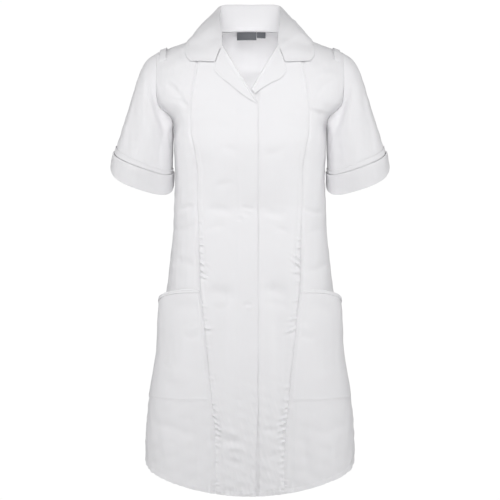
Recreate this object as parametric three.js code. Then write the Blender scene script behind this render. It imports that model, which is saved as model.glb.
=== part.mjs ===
// A short-sleeved medical tunic with a revere collar, in the hollow form that it takes when it is worn.
// Millimetres, +z up. The front faces -y, and +x is the wearer's left. The origin is the middle of the
// neck opening, level with the points where the shoulder seams meet the neck.
import * as THREE from 'three';

// ---------------------------------------------------------------- driving sizes
const SEAM_GAP = 0.3;          // between two pieces sewn to each other
const LAY_GAP = 0.5;           // between a piece and the panel that it lies on
const CLOTH = 1.5;             // single cloth with its turnings
const DOUBLE_CLOTH = 2;        // collar, lapels and cuffs
const WEARER_RIGHT = -1;       // the side that closes on top
const WEARER_LEFT = 1;

const UNDERARM_Z = -205;
const HEM_Z = -920;            // the level of the lowest row, before the hem's own curve
const VENT_TOP_Z = -785;
const NECK = { halfWidth: 70, ridgeY: 8, backY: 66, backRise: 9, frontCurve: 0.7 };
const SHOULDER_SLOPE = 0.37;
const SHOULDER_TIP_X = 192;
const SHOULDER_ROUND = { neck: 140, tip: 95, back: 110 };
const SHOULDER_SEAM = { parted: 0.45, reach: 20 };
const BREAK_POINT = { x: 15, z: -159 };
const GORGE_POINT = { x: 55, z: -41.5 };
const UNDER_FRONT = { reach: 20, dip: 2.4, dipWidth: 12 };

// Rings of the body. Above the underarm, z is the height that the ring has at the neck, and halfWidth is
// where the ring would close if the armhole weren't cut out of it. squareness is the ring's exponent.
const RINGS = [
  { z: 0, halfWidth: 204, front: 104, back: 108, squareness: 2.4 },
  { z: -70, halfWidth: 202, front: 106, back: 112, squareness: 2.4 },
  { z: -96, halfWidth: 200, front: 107, back: 113, squareness: 2.4 },
  { z: -125, halfWidth: 196, front: 109, back: 114, squareness: 2.4 },
  { z: -142, halfWidth: 191, front: 110.5, back: 114, squareness: 2.45 },
  { z: -153, halfWidth: 184, front: 112, back: 114, squareness: 2.45 },
  { z: -164, halfWidth: 174.5, front: 113.5, back: 113.5, squareness: 2.5 },
  { z: -174, halfWidth: 167, front: 115, back: 113, squareness: 2.5 },
  { z: -186, halfWidth: 161, front: 117, back: 112, squareness: 2.55 },
  { z: -205, halfWidth: 156.5, front: 119, back: 111, squareness: 2.55 },
  { z: -240, halfWidth: 155, front: 122, back: 107, squareness: 2.6 },
  { z: -300, halfWidth: 153, front: 112, back: 99, squareness: 2.45 },
  { z: -359, halfWidth: 155.5, front: 102, back: 94, squareness: 2.25 },
  { z: -410, halfWidth: 157, front: 104, back: 102, squareness: 2.2 },
  { z: -457, halfWidth: 162, front: 108, back: 114, squareness: 2.2 },
  { z: -523, halfWidth: 169.5, front: 112, back: 127, squareness: 2.2 },
  { z: -590, halfWidth: 179, front: 117, back: 131, squareness: 2.25 },
  { z: -654, halfWidth: 189, front: 122, back: 133, squareness: 2.3 },
  { z: -752, halfWidth: 206, front: 129, back: 135, squareness: 2.35 },
  { z: -851, halfWidth: 212, front: 134, back: 137, squareness: 2.4 },
  { z: -920, halfWidth: 213, front: 136, back: 138, squareness: 2.4 },
];

// The armhole's distance from the middle, by the level of its ring.
const ARMHOLE = [
  { z: 0, x: SHOULDER_TIP_X }, { z: -25, x: 190.5 }, { z: -70, x: 190 }, { z: -100, x: 189 },
  { z: -125, x: 187.5 }, { z: -142, x: 185 }, { z: -153, x: 179.5 }, { z: -164, x: 170.5 },
  { z: -174, x: 163.8 }, { z: -186, x: 159 }, { z: -205, x: 156.5 },
];

// The long seam between the centre front and the side front.
const PRINCESS_SEAM = [
  { z: 0, x: 99.5 }, { z: -69, x: 104 }, { z: -110, x: 110 }, { z: -151, x: 116.3 }, { z: -211, x: 118.6 },
  { z: -251, x: 112 }, { z: -300, x: 106.5 }, { z: -350, x: 106 }, { z: -409, x: 102 }, { z: -469, x: 100 },
  { z: -528, x: 98 }, { z: -587, x: 92 }, { z: -646, x: 86 }, { z: -705, x: 80 }, { z: -763, x: 74 },
  { z: -821, x: 69 }, { z: -920, x: 67 },
];

// How far the side seam lies behind the widest line.
const SIDE_SEAM = [{ z: -205, y: 0 }, { z: -300, y: 5 }, { z: -450, y: 9 }, { z: -920, y: 10 }];

const HEM = {
  front: -930, back: -922, side: -888, cornerWidth: 95, cornerRise: 60, cornerRound: 0.97, reach: 220,
  gather: 1.5, ventOpen: 1.7,
};

// Soft folds in the body: x and z of the middle, halves of the extent, height (a trough is negative) and
// how far the fold leans sideways for each millimetre it climbs. face is the half of the ring it is on.
// They fade out over FOLD_FADE towards the sides.
const FOLD_FADE = 45;
const FOLDS = [
  { face: 'front', x: -103, z: -290, halfWide: 26, halfHigh: 62, height: -5, lean: 0 },
  { face: 'front', x: 104, z: -286, halfWide: 24, halfHigh: 55, height: -4.5, lean: 0 },
  { face: 'front', x: -50, z: -610, halfWide: 20, halfHigh: 110, height: -5, lean: 0.05 },
  { face: 'front', x: 55, z: -600, halfWide: 22, halfHigh: 100, height: -5.5, lean: -0.06 },
  { face: 'front', x: -68, z: -820, halfWide: 24, halfHigh: 70, height: -3.5, lean: 0 },
  { face: 'front', x: 67, z: -812, halfWide: 22, halfHigh: 76, height: -3.5, lean: 0 },
  { face: 'front', x: 20, z: -365, halfWide: 60, halfHigh: 16, height: -3, lean: 0 },
  { face: 'front', x: -160, z: -190, halfWide: 22, halfHigh: 26, height: -4, lean: -0.4 },
  { face: 'front', x: 160, z: -188, halfWide: 22, halfHigh: 24, height: -4, lean: 0.4 },
  { face: 'back', x: -62, z: -352, halfWide: 18, halfHigh: 105, height: -6, lean: 0.02 },
  { face: 'back', x: 63, z: -350, halfWide: 18, halfHigh: 105, height: -6, lean: -0.02 },
  { face: 'back', x: -8, z: -372, halfWide: 95, halfHigh: 17, height: -5, lean: 0 },
  { face: 'back', x: 14, z: -418, halfWide: 80, halfHigh: 16, height: -3.5, lean: 0 },
  { face: 'back', x: -120, z: -170, halfWide: 26, halfHigh: 60, height: -5, lean: -0.25 },
  { face: 'back', x: 122, z: -166, halfWide: 26, halfHigh: 58, height: -5, lean: 0.25 },
  { face: 'back', x: -70, z: -760, halfWide: 30, halfHigh: 150, height: -6, lean: 0.04 },
  { face: 'back', x: 78, z: -740, halfWide: 32, halfHigh: 160, height: -6, lean: -0.05 },
  { face: 'back', x: 2, z: -800, halfWide: 26, halfHigh: 130, height: 4, lean: 0 },
];

// Rings of the left sleeve, from the armhole (0) to the hem (1): the outer and the inner point of each
// ring, half its depth from front to back, how far its front and its back hang below those points, and
// how far the ring lies behind the shoulder line.
const SLEEVE_RINGS = [
  [0, 192, -45, 156.5, -205, 46, 0, 0, 0], [0.06, 209, -57, 156.5, -207, 49, 0, 0, 0],
  [0.14, 221, -75, 156.5, -211, 53, 0, 0, 0], [0.24, 231, -101, 156.6, -218.5, 56, 1, 0, 0],
  [0.36, 240.5, -132, 156.8, -228.5, 57, 3, -1, 0], [0.5, 249.5, -162, 157, -242, 56, 5.5, -2, 0],
  [0.64, 260, -194, 157.3, -258, 54, 9, -3, 0], [0.78, 271, -229, 158.2, -277, 52.5, 13.5, -4, 1],
  [0.845, 276.5, -247.5, 159.2, -288.5, 52, 16, -4, 2], [0.92, 280.8, -261.5, 159.2, -303, 51.2, 22.5, -1, 6],
  [1, 285, -277, 158.4, -318, 50, 30, 3, 10],
].map(([part, outerX, outerZ, innerX, innerZ, halfDepth, frontDrop, backDrop, behind]) => (
  { part, outerX, outerZ, innerX, innerZ, halfDepth, frontDrop, backDrop, behind }));
const SLEEVE = {
  capPart: 0.4, foldsFrom: 0.1, cuffPart: 0.845, trimPart: 0.805, shortOfCuff: 0.006, seamGap: 0.75,
  trimHeight: 2.1, dropTurn: 0.3, dropRound: 1.35,
};
const CUFF_STAND = { hem: 0.5, top: 2.2 };
// Folds of the sleeve: the direction round the ring (0 outermost, 90 front), the place along the sleeve,
// halves of the extent, and height.
const SLEEVE_FOLDS = [
  { turn: 128, part: 0.3, halfTurn: 16, halfPart: 0.14, height: -6 },
  { turn: 96, part: 0.42, halfTurn: 14, halfPart: 0.2, height: 3 },
  { turn: 55, part: 0.62, halfTurn: 18, halfPart: 0.25, height: -3 },
  { turn: 236, part: 0.33, halfTurn: 17, halfPart: 0.16, height: -6 },
  { turn: 282, part: 0.6, halfTurn: 22, halfPart: 0.22, height: -3.5 },
];

// The collar, from the middle of the back (0) over the shoulder (0.5) to its front end (1): the top of
// the fold, and the outer edge in plan, where it rests on the body.
const COLLAR_RAILS = [
  { part: 0, foldX: 0, foldY: 63, foldZ: 65, edgeX: 0, edgeY: 92 },
  { part: 0.18, foldX: 34, foldY: 57.5, foldZ: 64.5, edgeX: 45, edgeY: 88 },
  { part: 0.36, foldX: 59.5, foldY: 39, foldZ: 59, edgeX: 86, edgeY: 71 },
  { part: 0.5, foldX: 63, foldY: 14, foldZ: 41, edgeX: 109, edgeY: 39 },
  { part: 0.64, foldX: 62.3, foldY: -10, foldZ: 25, edgeX: 120, edgeY: 7 },
  { part: 0.76, foldX: 61, foldY: -31, foldZ: 8, edgeX: 126, edgeY: -23 },
  { part: 0.88, foldX: 58.7, foldY: -52, foldZ: -13, edgeX: 128.5, edgeY: -53 },
  { part: 0.94, foldX: 57.2, foldY: -62, foldZ: -24.5, edgeX: 127, edgeY: -66 },
  { part: 1, foldX: 55.5, foldY: -72, foldZ: -36.5, edgeX: 119, edgeY: -75.5 },
];
const COLLAR = {
  edgeHeight: 3, foldHalf: 4, foldTurn: 0.3, fallBulge: 15, fallLift: 0.35, flatter: 0.45, flatFrom: 0.6,
  clear: 3.7, clearAtFold: 4.8, seamHeight: 0.6, endFrom: 0.85,
};
const COLLAR_NOTCH = { x: 69, y: -91, across: 0.44, from: 0.8 };

// The lapel's free edge in front view, from the notch to the break point, on the wearer's right.
const LAPEL_EDGE = [
  { part: 0, x: 68, z: -79.8 }, { part: 0.12, x: 71, z: -93 }, { part: 0.22, x: 64, z: -102.5 },
  { part: 0.5, x: 36, z: -126 }, { part: 0.75, x: 9, z: -147.5 }, { part: 1, x: -13.5, z: -162 },
];
// The under lapel stops where the upper front crosses it.
const UNDER_LAPEL_EDGE = [
  { part: 0, x: 68.5, z: -80 }, { part: 0.13, x: 72.5, z: -94 }, { part: 0.28, x: 60.5, z: -110.5 },
  { part: 0.5, x: 44.5, z: -118 }, { part: 0.8, x: 24.5, z: -130.5 }, { part: 1, x: 9.5, z: -141 },
];
const UNDER_LAPEL_END = { x: 2.2, z: -131.5 };
const LAPEL = { lie: 0.7, rollRise: 2.2, rollWidth: 0.3, endX: -13.5, endZ: -157 };

const POCKET = {
  mouthSeamZ: -526.5, mouthSideZ: -562, mouthCurve: 2.8, bottomSeamZ: -746, bottomSideZ: -752,
  from: 0.012, to: 0.985, gape: 12, gapeSkew: 3, gapeReach: 150, trimHeight: 8,
};
const SHOULDER_LOOP = { x: 176, halfWidth: 7, rise: 1.4, thickness: 1.6 };
const LABEL = { left: -27.3, right: 13.4, height: 17, thickness: 0.8, inset: 2.7 };
const SIZE_TAB = { left: 14.4, right: 32.5, height: 12.5, thickness: 0.8, inset: 2.7 };

// ---------------------------------------------------------------- small tools
/** The value of a table's column at a key, on a smooth curve through the rows. */
function read(table, key, column, at) {
  const last = table.length - 1;
  const way = Math.sign(table[last][key] - table[0][key]);
  let i = 0;
  while (i < last - 1 && (at - table[i + 1][key]) * way > 0) i += 1;
  const slope = (row) => {
    const before = table[Math.max(row - 1, 0)];
    const after = table[Math.min(row + 1, last)];
    return (after[column] - before[column]) / (after[key] - before[key]);
  };
  const span = table[i + 1][key] - table[i][key];
  const u = THREE.MathUtils.clamp((at - table[i][key]) / span, 0, 1);
  const start = table[i][column];
  const end = table[i + 1][column];
  return start * (2 * u ** 3 - 3 * u ** 2 + 1) + end * (3 * u ** 2 - 2 * u ** 3)
    + span * (slope(i) * (u ** 3 - 2 * u ** 2 + u) + slope(i + 1) * (u ** 3 - u ** 2));
}

/** 0 before from, 1 after to, and a soft step between them. */
function ease(value, from, to) {
  const u = THREE.MathUtils.clamp((value - from) / (to - from), 0, 1);
  return u * u * (3 - 2 * u);
}

const mix = THREE.MathUtils.lerp;

/** count + 1 even steps from one value to another. */
function steps(from, to, count) {
  return Array.from({ length: count + 1 }, (_, i) => mix(from, to, i / count));
}

/**
 * A wall of cloth. place(across, along) gives its outer points, and each inner point lies the thickness
 * under them. way is -1 where the outside is on the other side; a closed wall is a tube.
 */
function clothWall({ across, along, place, thickness, way = 1, closed = false }) {
  const [firstU, lastU] = [across[0], across.at(-1)];
  const [firstV, lastV] = [along[0], along.at(-1)];
  const stepU = (lastU - firstU) / 400;
  const stepV = (lastV - firstV) / 400;
  const inside = (value, a, b) => THREE.MathUtils.clamp(value, Math.min(a, b), Math.max(a, b));
  const boundU = (u) => (closed ? u : inside(u, firstU, lastU));
  const normalAt = (u, v) => {
    const alongU = place(boundU(u + stepU), v).sub(place(boundU(u - stepU), v));
    const alongV = place(u, inside(v + stepV, firstV, lastV)).sub(place(u, inside(v - stepV, firstV, lastV)));
    return alongU.cross(alongV).normalize().multiplyScalar(way);
  };
  const columns = closed ? across.slice(0, -1) : across;
  const outer = [];
  const inner = [];
  for (const v of along) {
    for (const u of columns) {
      const point = place(u, v);
      outer.push(point);
      inner.push(point.clone().addScaledVector(normalAt(u, v), -thickness));
    }
  }
  const points = [...outer, ...inner];
  const index = (layer, i, j) => layer * outer.length + j * columns.length + (i % columns.length);
  const faces = [];
  const quad = (a, b, c, d) => faces.push(...(way < 0 ? [a, c, b, a, d, c] : [a, b, c, a, c, d]));
  const cells = closed ? columns.length : columns.length - 1;
  for (let j = 0; j < along.length - 1; j += 1) {
    for (let i = 0; i < cells; i += 1) {
      quad(index(0, i, j), index(0, i + 1, j), index(0, i + 1, j + 1), index(0, i, j + 1));
      quad(index(1, i, j), index(1, i, j + 1), index(1, i + 1, j + 1), index(1, i + 1, j));
    }
  }
  const top = along.length - 1;
  for (let i = 0; i < cells; i += 1) {
    quad(index(0, i, 0), index(1, i, 0), index(1, i + 1, 0), index(0, i + 1, 0));
    quad(index(0, i, top), index(0, i + 1, top), index(1, i + 1, top), index(1, i, top));
  }
  for (let j = 0; j < top && !closed; j += 1) {
    const end = columns.length - 1;
    quad(index(0, 0, j), index(0, 0, j + 1), index(1, 0, j + 1), index(1, 0, j));
    quad(index(0, end, j), index(1, end, j), index(1, end, j + 1), index(0, end, j + 1));
  }
  const geometry = new THREE.BufferGeometry().setFromPoints(points);
  geometry.setIndex(faces);
  geometry.computeVertexNormals();
  return geometry;
}

// ---------------------------------------------------------------- the body's surface
/** Where the shoulder line runs over the body at a distance x from the middle. */
function ridge(x, back) {
  const reach = Math.abs(x);
  const overNeck = Math.max(0, 1 - (x / NECK.halfWidth) ** 2);
  return {
    y: back ? NECK.ridgeY + (NECK.backY - NECK.ridgeY) * Math.sqrt(overNeck) : NECK.ridgeY,
    z: (back ? NECK.backRise * overNeck : 0) - Math.max(0, reach - NECK.halfWidth) * SHOULDER_SLOPE,
    round: mix(back ? SHOULDER_ROUND.back : SHOULDER_ROUND.neck, SHOULDER_ROUND.tip,
      ease(reach, NECK.halfWidth, SHOULDER_TIP_X)),
  };
}

/** The soft folds' height at a point of the body. */
function foldHeight(x, y, z) {
  const back = y > 0;
  const fade = ease(Math.abs(y), 0, FOLD_FADE);
  let height = 0;
  for (const fold of FOLDS) {
    if ((fold.face === 'back') !== back) continue;
    const wide = (x - fold.x - fold.lean * (z - fold.z)) / fold.halfWide;
    const high = (z - fold.z) / fold.halfHigh;
    height += fold.height * fade * Math.exp(-wide * wide - high * high);
  }
  return height;
}

/** The ring angle, 0 at the middle of the front and a half turn at the back, of a place on a ring. */
function angleAtX(x, level) {
  const share = Math.min(1, Math.abs(x) / read(RINGS, 'z', 'halfWidth', level));
  return Math.sign(x) * Math.asin(share ** (read(RINGS, 'z', 'squareness', level) / 2));
}

function angleAtY(y, level) {
  const depth = read(RINGS, 'z', y > 0 ? 'back' : 'front', level);
  const share = Math.min(1, Math.abs(y) / depth) ** (read(RINGS, 'z', 'squareness', level) / 2);
  return Math.PI / 2 + Math.sign(y) * Math.asin(share);
}

/** The hem's own curve: lower at the middle, and round at the vents. */
function hemZ(x, y, halfWidth) {
  const middle = y > 0 ? HEM.back : HEM.front;
  const fromVent = Math.abs(y - read(SIDE_SEAM, 'z', 'y', HEM_Z));
  const corner = HEM.cornerRound * Math.max(0, 1 - fromVent / HEM.cornerWidth);
  const lift = HEM.cornerRise * (1 - Math.sqrt(1 - corner * corner));
  return mix(middle, HEM.side, (x / halfWidth) ** 2) + lift;
}

/** A point of the body's outer surface, by ring angle and level. */
function bodyPoint(angle, level) {
  const sine = Math.sin(angle);
  const back = Math.cos(angle) < 0;
  const power = 2 / read(RINGS, 'z', 'squareness', level);
  const halfWidth = read(RINGS, 'z', 'halfWidth', level);
  const depth = read(RINGS, 'z', back ? 'back' : 'front', level);
  const x = halfWidth * Math.sign(sine) * Math.abs(sine) ** power;
  const ringY = (back ? 1 : -1) * depth * Math.abs(Math.cos(angle)) ** power;
  const outward = new THREE.Vector3(x / halfWidth ** 2, ringY / depth ** 2, 0).normalize();
  if (level <= UNDERARM_Z) {
    const toHem = ease(level, HEM_Z + HEM.reach, HEM_Z) ** HEM.gather;
    const z = level + (hemZ(x, ringY, halfWidth) - HEM_Z) * toHem;
    return new THREE.Vector3(x, ringY, z).addScaledVector(outward, foldHeight(x, ringY, z));
  }
  const line = ridge(x, back);
  const climb = 1 - level / UNDERARM_Z;
  const z = mix(UNDERARM_Z, line.z, climb);
  const below = Math.min(1, (line.z - z) / line.round);
  const parted = (back ? 1 : -1) * SHOULDER_SEAM.parted * ease(level, -SHOULDER_SEAM.reach, 0);
  const y = mix(line.y + parted, ringY, Math.sqrt(1 - (1 - below) ** 2));
  return new THREE.Vector3(x, y, z).addScaledVector(outward, foldHeight(x, ringY, z));
}

function bodyNormal(angle, level) {
  const turn = 0.01;
  const rise = 1.5;
  const across = bodyPoint(angle + turn, level).sub(bodyPoint(angle - turn, level));
  const up = bodyPoint(angle, Math.min(0, level + rise)).sub(bodyPoint(angle, level - rise));
  return across.cross(up).normalize();
}

/** A point moved out of the body's surface. */
function offBody(angle, level, height) {
  return bodyPoint(angle, level).addScaledVector(bodyNormal(angle, level), height);
}

/** The ring angle and level at a place in plan on the upper body, found by halving the range of levels. */
function underPlan(x, y) {
  const back = y > ridge(x, true).y;
  const angleAt = (level) => (back ? Math.PI - angleAtX(x, level) : angleAtX(x, level));
  let [low, high] = [UNDERARM_Z, 0];
  for (let halving = 0; halving < 24; halving += 1) {
    const level = (low + high) / 2;
    const outside = back ? bodyPoint(angleAt(level), level).y > y : bodyPoint(angleAt(level), level).y < y;
    if (outside) low = level; else high = level;
  }
  return { angle: angleAt(high), level: high };
}

/** A point over the upper body, by its place in plan and its height off the cloth. */
function restOnShoulder(x, y, height) {
  const { angle, level } = underPlan(x, y);
  return offBody(angle, level, height);
}

/** Lifts a point that is nearer to the upper body than it may be. */
function clearShoulder(point, distance) {
  const { angle, level } = underPlan(point.x, point.y);
  const normal = bodyNormal(angle, level);
  const height = point.clone().sub(bodyPoint(angle, level)).dot(normal);
  return height < distance ? point.addScaledVector(normal, distance - height) : point;
}

/** A point in front of the upper body, by its place in front view. */
function frontPoint(x, z, height) {
  const line = ridge(x, false);
  const level = UNDERARM_Z * (1 - (z - UNDERARM_Z) / (line.z - UNDERARM_Z));
  return offBody(angleAtX(x, level), level, height);
}

// ---------------------------------------------------------------- materials and pieces
const WHITE_TWILL = { color: 0xf1f1f3, roughness: 0.85, metalness: 0 };
const LABEL_SATIN = { color: 0x8d9093, roughness: 0.6, metalness: 0 };
const tunic = new THREE.Group();

function addPiece(name, geometry, finish = WHITE_TWILL) {
  const piece = new THREE.Mesh(geometry, new THREE.MeshStandardMaterial({ ...finish, side: THREE.DoubleSide }));
  piece.name = name;
  tunic.add(piece);
}

const NECK_LEVELS = [0, -2, -7, -16, GORGE_POINT.z, -60, -80, -100, -120, -140, BREAK_POINT.z, -178, -192,
  -201, UNDERARM_Z];
const SKIRT_LEVELS = [-230, -258, -290, -325, -359, -390, -420, -452, -485, -518, -550, -590, -635, -680,
  -730, VENT_TOP_Z, -825, -862, -893, HEM_Z];
const BODY_LEVELS = [...NECK_LEVELS, ...SKIRT_LEVELS];

/** How far the vent's two edges have parted. */
function ventOpening(level) {
  return HEM.ventOpen * ease(level, VENT_TOP_Z, HEM_Z);
}

/** The front's inner edge: straight up to the break point, along the roll line and round the neck. */
function frontEdgeX(level, reach) {
  const rollSlope = (GORGE_POINT.x + BREAK_POINT.x) / (GORGE_POINT.z - BREAK_POINT.z);
  const roll = GORGE_POINT.x + (level - GORGE_POINT.z) * rollSlope;
  if (level > GORGE_POINT.z) return mix(NECK.halfWidth, GORGE_POINT.x, (level / GORGE_POINT.z) ** NECK.frontCurve);
  return Math.max(-reach, roll);
}

const CENTRE_FRONT_COLUMNS = [0, 0.14, 0.26, 0.36, 0.52, 0.68, 0.84, 1];

/** A column of the centre front. The second and third knots keep to the strip where the fronts overlap. */
function centreFrontX(level, reach, across) {
  const edgeX = frontEdgeX(level, reach);
  const seamX = read(PRINCESS_SEAM, 'z', 'x', level) - SEAM_GAP / 2;
  const [, , overlapEnd, dipEnd] = CENTRE_FRONT_COLUMNS;
  const overlapX = Math.max(BREAK_POINT.x + 0.5, mix(edgeX, seamX, overlapEnd));
  const dipX = Math.max(overlapX + UNDER_FRONT.dipWidth, mix(edgeX, seamX, dipEnd));
  if (across <= overlapEnd) return mix(edgeX, overlapX, across / overlapEnd);
  if (across <= dipEnd) return mix(overlapX, dipX, (across - overlapEnd) / (dipEnd - overlapEnd));
  return mix(dipX, seamX, (across - dipEnd) / (1 - dipEnd));
}

function centreFront(side) {
  const over = side === WEARER_RIGHT;
  const reach = over ? BREAK_POINT.x : UNDER_FRONT.reach;
  const place = (across, level) => {
    const x = centreFrontX(level, reach, across);
    const covered = 1 - ease(x, BREAK_POINT.x, BREAK_POINT.x + UNDER_FRONT.dipWidth);
    const dip = over ? 0 : UNDER_FRONT.dip * covered;
    return offBody(angleAtX(side * x, level), level, -dip);
  };
  return clothWall({ across: CENTRE_FRONT_COLUMNS, along: BODY_LEVELS, place, thickness: CLOTH, way: -side });
}

/** The ring angle of the side front's outer edge: the armhole, and below it the side seam. */
function sideFrontEdge(level) {
  const seamY = read(SIDE_SEAM, 'z', 'y', level) - SEAM_GAP / 2 - ventOpening(level);
  const seam = angleAtY(seamY, level);
  return level > UNDERARM_Z ? Math.min(seam, angleAtX(read(ARMHOLE, 'z', 'x', level), level)) : seam;
}

/** The ring angle of a column of the side front, from the princess seam (0) to its outer edge (1). */
function sideFrontAngle(level, across) {
  const seam = angleAtX(read(PRINCESS_SEAM, 'z', 'x', level) + SEAM_GAP / 2, level);
  return mix(seam, sideFrontEdge(level), across);
}

const SIDE_FRONT_COLUMNS = steps(0, 1, 7);

function sideFront(side) {
  const place = (across, level) => offBody(side * sideFrontAngle(level, across), level, 0);
  return clothWall({ across: SIDE_FRONT_COLUMNS, along: BODY_LEVELS, place, thickness: CLOTH, way: -side });
}

/** Half the back's ring, in radians from the middle of the back. */
function backHalf(level) {
  const seamY = read(SIDE_SEAM, 'z', 'y', level) + SEAM_GAP / 2 + ventOpening(level);
  const seam = Math.PI - angleAtY(seamY, level);
  return level > UNDERARM_Z ? Math.min(seam, angleAtX(read(ARMHOLE, 'z', 'x', level), level)) : seam;
}

// Closer columns round the neck; 0.237 is where the shoulder seam starts.
const HALF_BACK_COLUMNS = [0.07, 0.14, 0.2, 0.237, 0.33, 0.46, 0.6, 0.75, 0.88, 1];
const BACK_COLUMNS = [...HALF_BACK_COLUMNS.map((u) => -u).reverse(), 0, ...HALF_BACK_COLUMNS];

function back() {
  const place = (across, level) => offBody(Math.PI + across * backHalf(level), level, 0);
  return clothWall({ across: BACK_COLUMNS, along: BODY_LEVELS, place, thickness: CLOTH, way: -1 });
}

/** A point of the sleeve's outer surface. turn is 0 at the outermost line and a quarter at the front. */
function sleevePoint(turn, part) {
  const outer = new THREE.Vector3(read(SLEEVE_RINGS, 'part', 'outerX', part), 0,
    read(SLEEVE_RINGS, 'part', 'outerZ', part));
  const inner = new THREE.Vector3(read(SLEEVE_RINGS, 'part', 'innerX', part), 0,
    read(SLEEVE_RINGS, 'part', 'innerZ', part));
  const half = outer.clone().sub(inner).multiplyScalar(0.5);
  const point = inner.add(half).addScaledVector(half, Math.cos(turn));
  const sine = Math.sin(turn);
  const drop = mix(-read(SLEEVE_RINGS, 'part', 'backDrop', part), read(SLEEVE_RINGS, 'part', 'frontDrop', part),
    ease(sine, -SLEEVE.dropTurn, SLEEVE.dropTurn));
  point.y += read(SLEEVE_RINGS, 'part', 'behind', part) - read(SLEEVE_RINGS, 'part', 'halfDepth', part) * sine;
  point.z -= drop * (SLEEVE.dropRound * sine + (1 - SLEEVE.dropRound) * sine ** 3);
  return point;
}

/** The edge of the armhole, in the same turns as the sleeve's rings. */
function armholePoint(turn) {
  const climb = (1 + Math.cos(turn)) / 2;
  const level = UNDERARM_Z * (1 - climb);
  const edge = Math.sin(turn) >= 0 ? sideFrontEdge(level) : Math.PI - backHalf(level);
  const point = bodyPoint(edge, level);
  point.x += SLEEVE.seamGap;
  return point;
}

function sleeveSurface(turn, part, height) {
  const shape = (atTurn, atPart) => {
    const seated = 1 - ease(atPart, 0, SLEEVE.capPart);
    const toArmhole = armholePoint(atTurn).sub(sleevePoint(atTurn, 0));
    const point = sleevePoint(atTurn, atPart).addScaledVector(toArmhole, seated);
    const degrees = THREE.MathUtils.radToDeg(atTurn);
    const middle = sleevePoint(0, atPart).add(sleevePoint(Math.PI, atPart)).multiplyScalar(0.5);
    const outward = point.clone().sub(middle).normalize();
    const clearOfSeam = ease(atPart, 0, SLEEVE.foldsFrom);
    for (const fold of SLEEVE_FOLDS) {
      const away = (degrees - fold.turn) / fold.halfTurn;
      const down = (atPart - fold.part) / fold.halfPart;
      point.addScaledVector(outward, fold.height * Math.exp(-away * away - down * down) * clearOfSeam);
    }
    return point;
  };
  const point = shape(turn, part);
  if (height === 0) return point;
  const reach = 0.01;
  const round = shape(turn + reach, part).sub(shape(turn - reach, part));
  const down = shape(turn, Math.min(1, part + reach)).sub(shape(turn, part - reach));
  return point.addScaledVector(round.cross(down).normalize(), height);
}

// The sleeve's columns meet the armhole where the body's rows do.
const FRONT_TURNS = NECK_LEVELS.map((level) => Math.acos(1 - (2 * level) / UNDERARM_Z));
const SLEEVE_TURNS = [...FRONT_TURNS, ...FRONT_TURNS.slice(0, -1).reverse().map((turn) => 2 * Math.PI - turn)];

function sleeveTube(side, parts, heightAt, thickness) {
  const place = (turn, part) => {
    const point = sleeveSurface((turn + 2 * Math.PI) % (2 * Math.PI), part, heightAt(part));
    point.x *= side;
    return point;
  };
  return clothWall({ across: SLEEVE_TURNS, along: parts, place, thickness, way: side, closed: true });
}

function sleeve(side) {
  const parts = [0, 0.03, 0.08, 0.15, 0.25, 0.36, 0.48, 0.6, 0.72, SLEEVE.cuffPart, 1 - SLEEVE.shortOfCuff];
  return sleeveTube(side, parts, () => 0, CLOTH);
}

/** How far the cuff stands off the sleeve, from its hem up to its loose top edge. */
function cuffStand(part) {
  return mix(CUFF_STAND.top, CUFF_STAND.hem, ease(part, SLEEVE.cuffPart, 1)) + DOUBLE_CLOTH;
}

function cuff(side) {
  return sleeveTube(side, [SLEEVE.cuffPart, 0.9, 0.95, 1], cuffStand, DOUBLE_CLOTH);
}

function cuffTrim(side) {
  return sleeveTube(side, [SLEEVE.trimPart, SLEEVE.cuffPart - 0.002], () => SLEEVE.trimHeight, CLOTH);
}

/** The neck seam, from the middle of the back (0) over the shoulder (0.5) to the gorge point (1). */
function neckSeam(part) {
  if (part <= 0.5) {
    const turn = Math.PI * part;
    const x = NECK.halfWidth * Math.sin(turn);
    const point = new THREE.Vector3(x, ridge(x, true).y, ridge(x, true).z);
    return point.add(new THREE.Vector3(0, 0, COLLAR.seamHeight));
  }
  const line = ridge(NECK.halfWidth, false);
  const forward = (part - 0.5) * 2 * Math.sqrt(1 - (1 + GORGE_POINT.z / line.round) ** 2);
  const level = -line.round * (1 - Math.sqrt(1 - forward ** 2));
  return offBody(angleAtX(frontEdgeX(level, 0), level), level, COLLAR.seamHeight);
}

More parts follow.
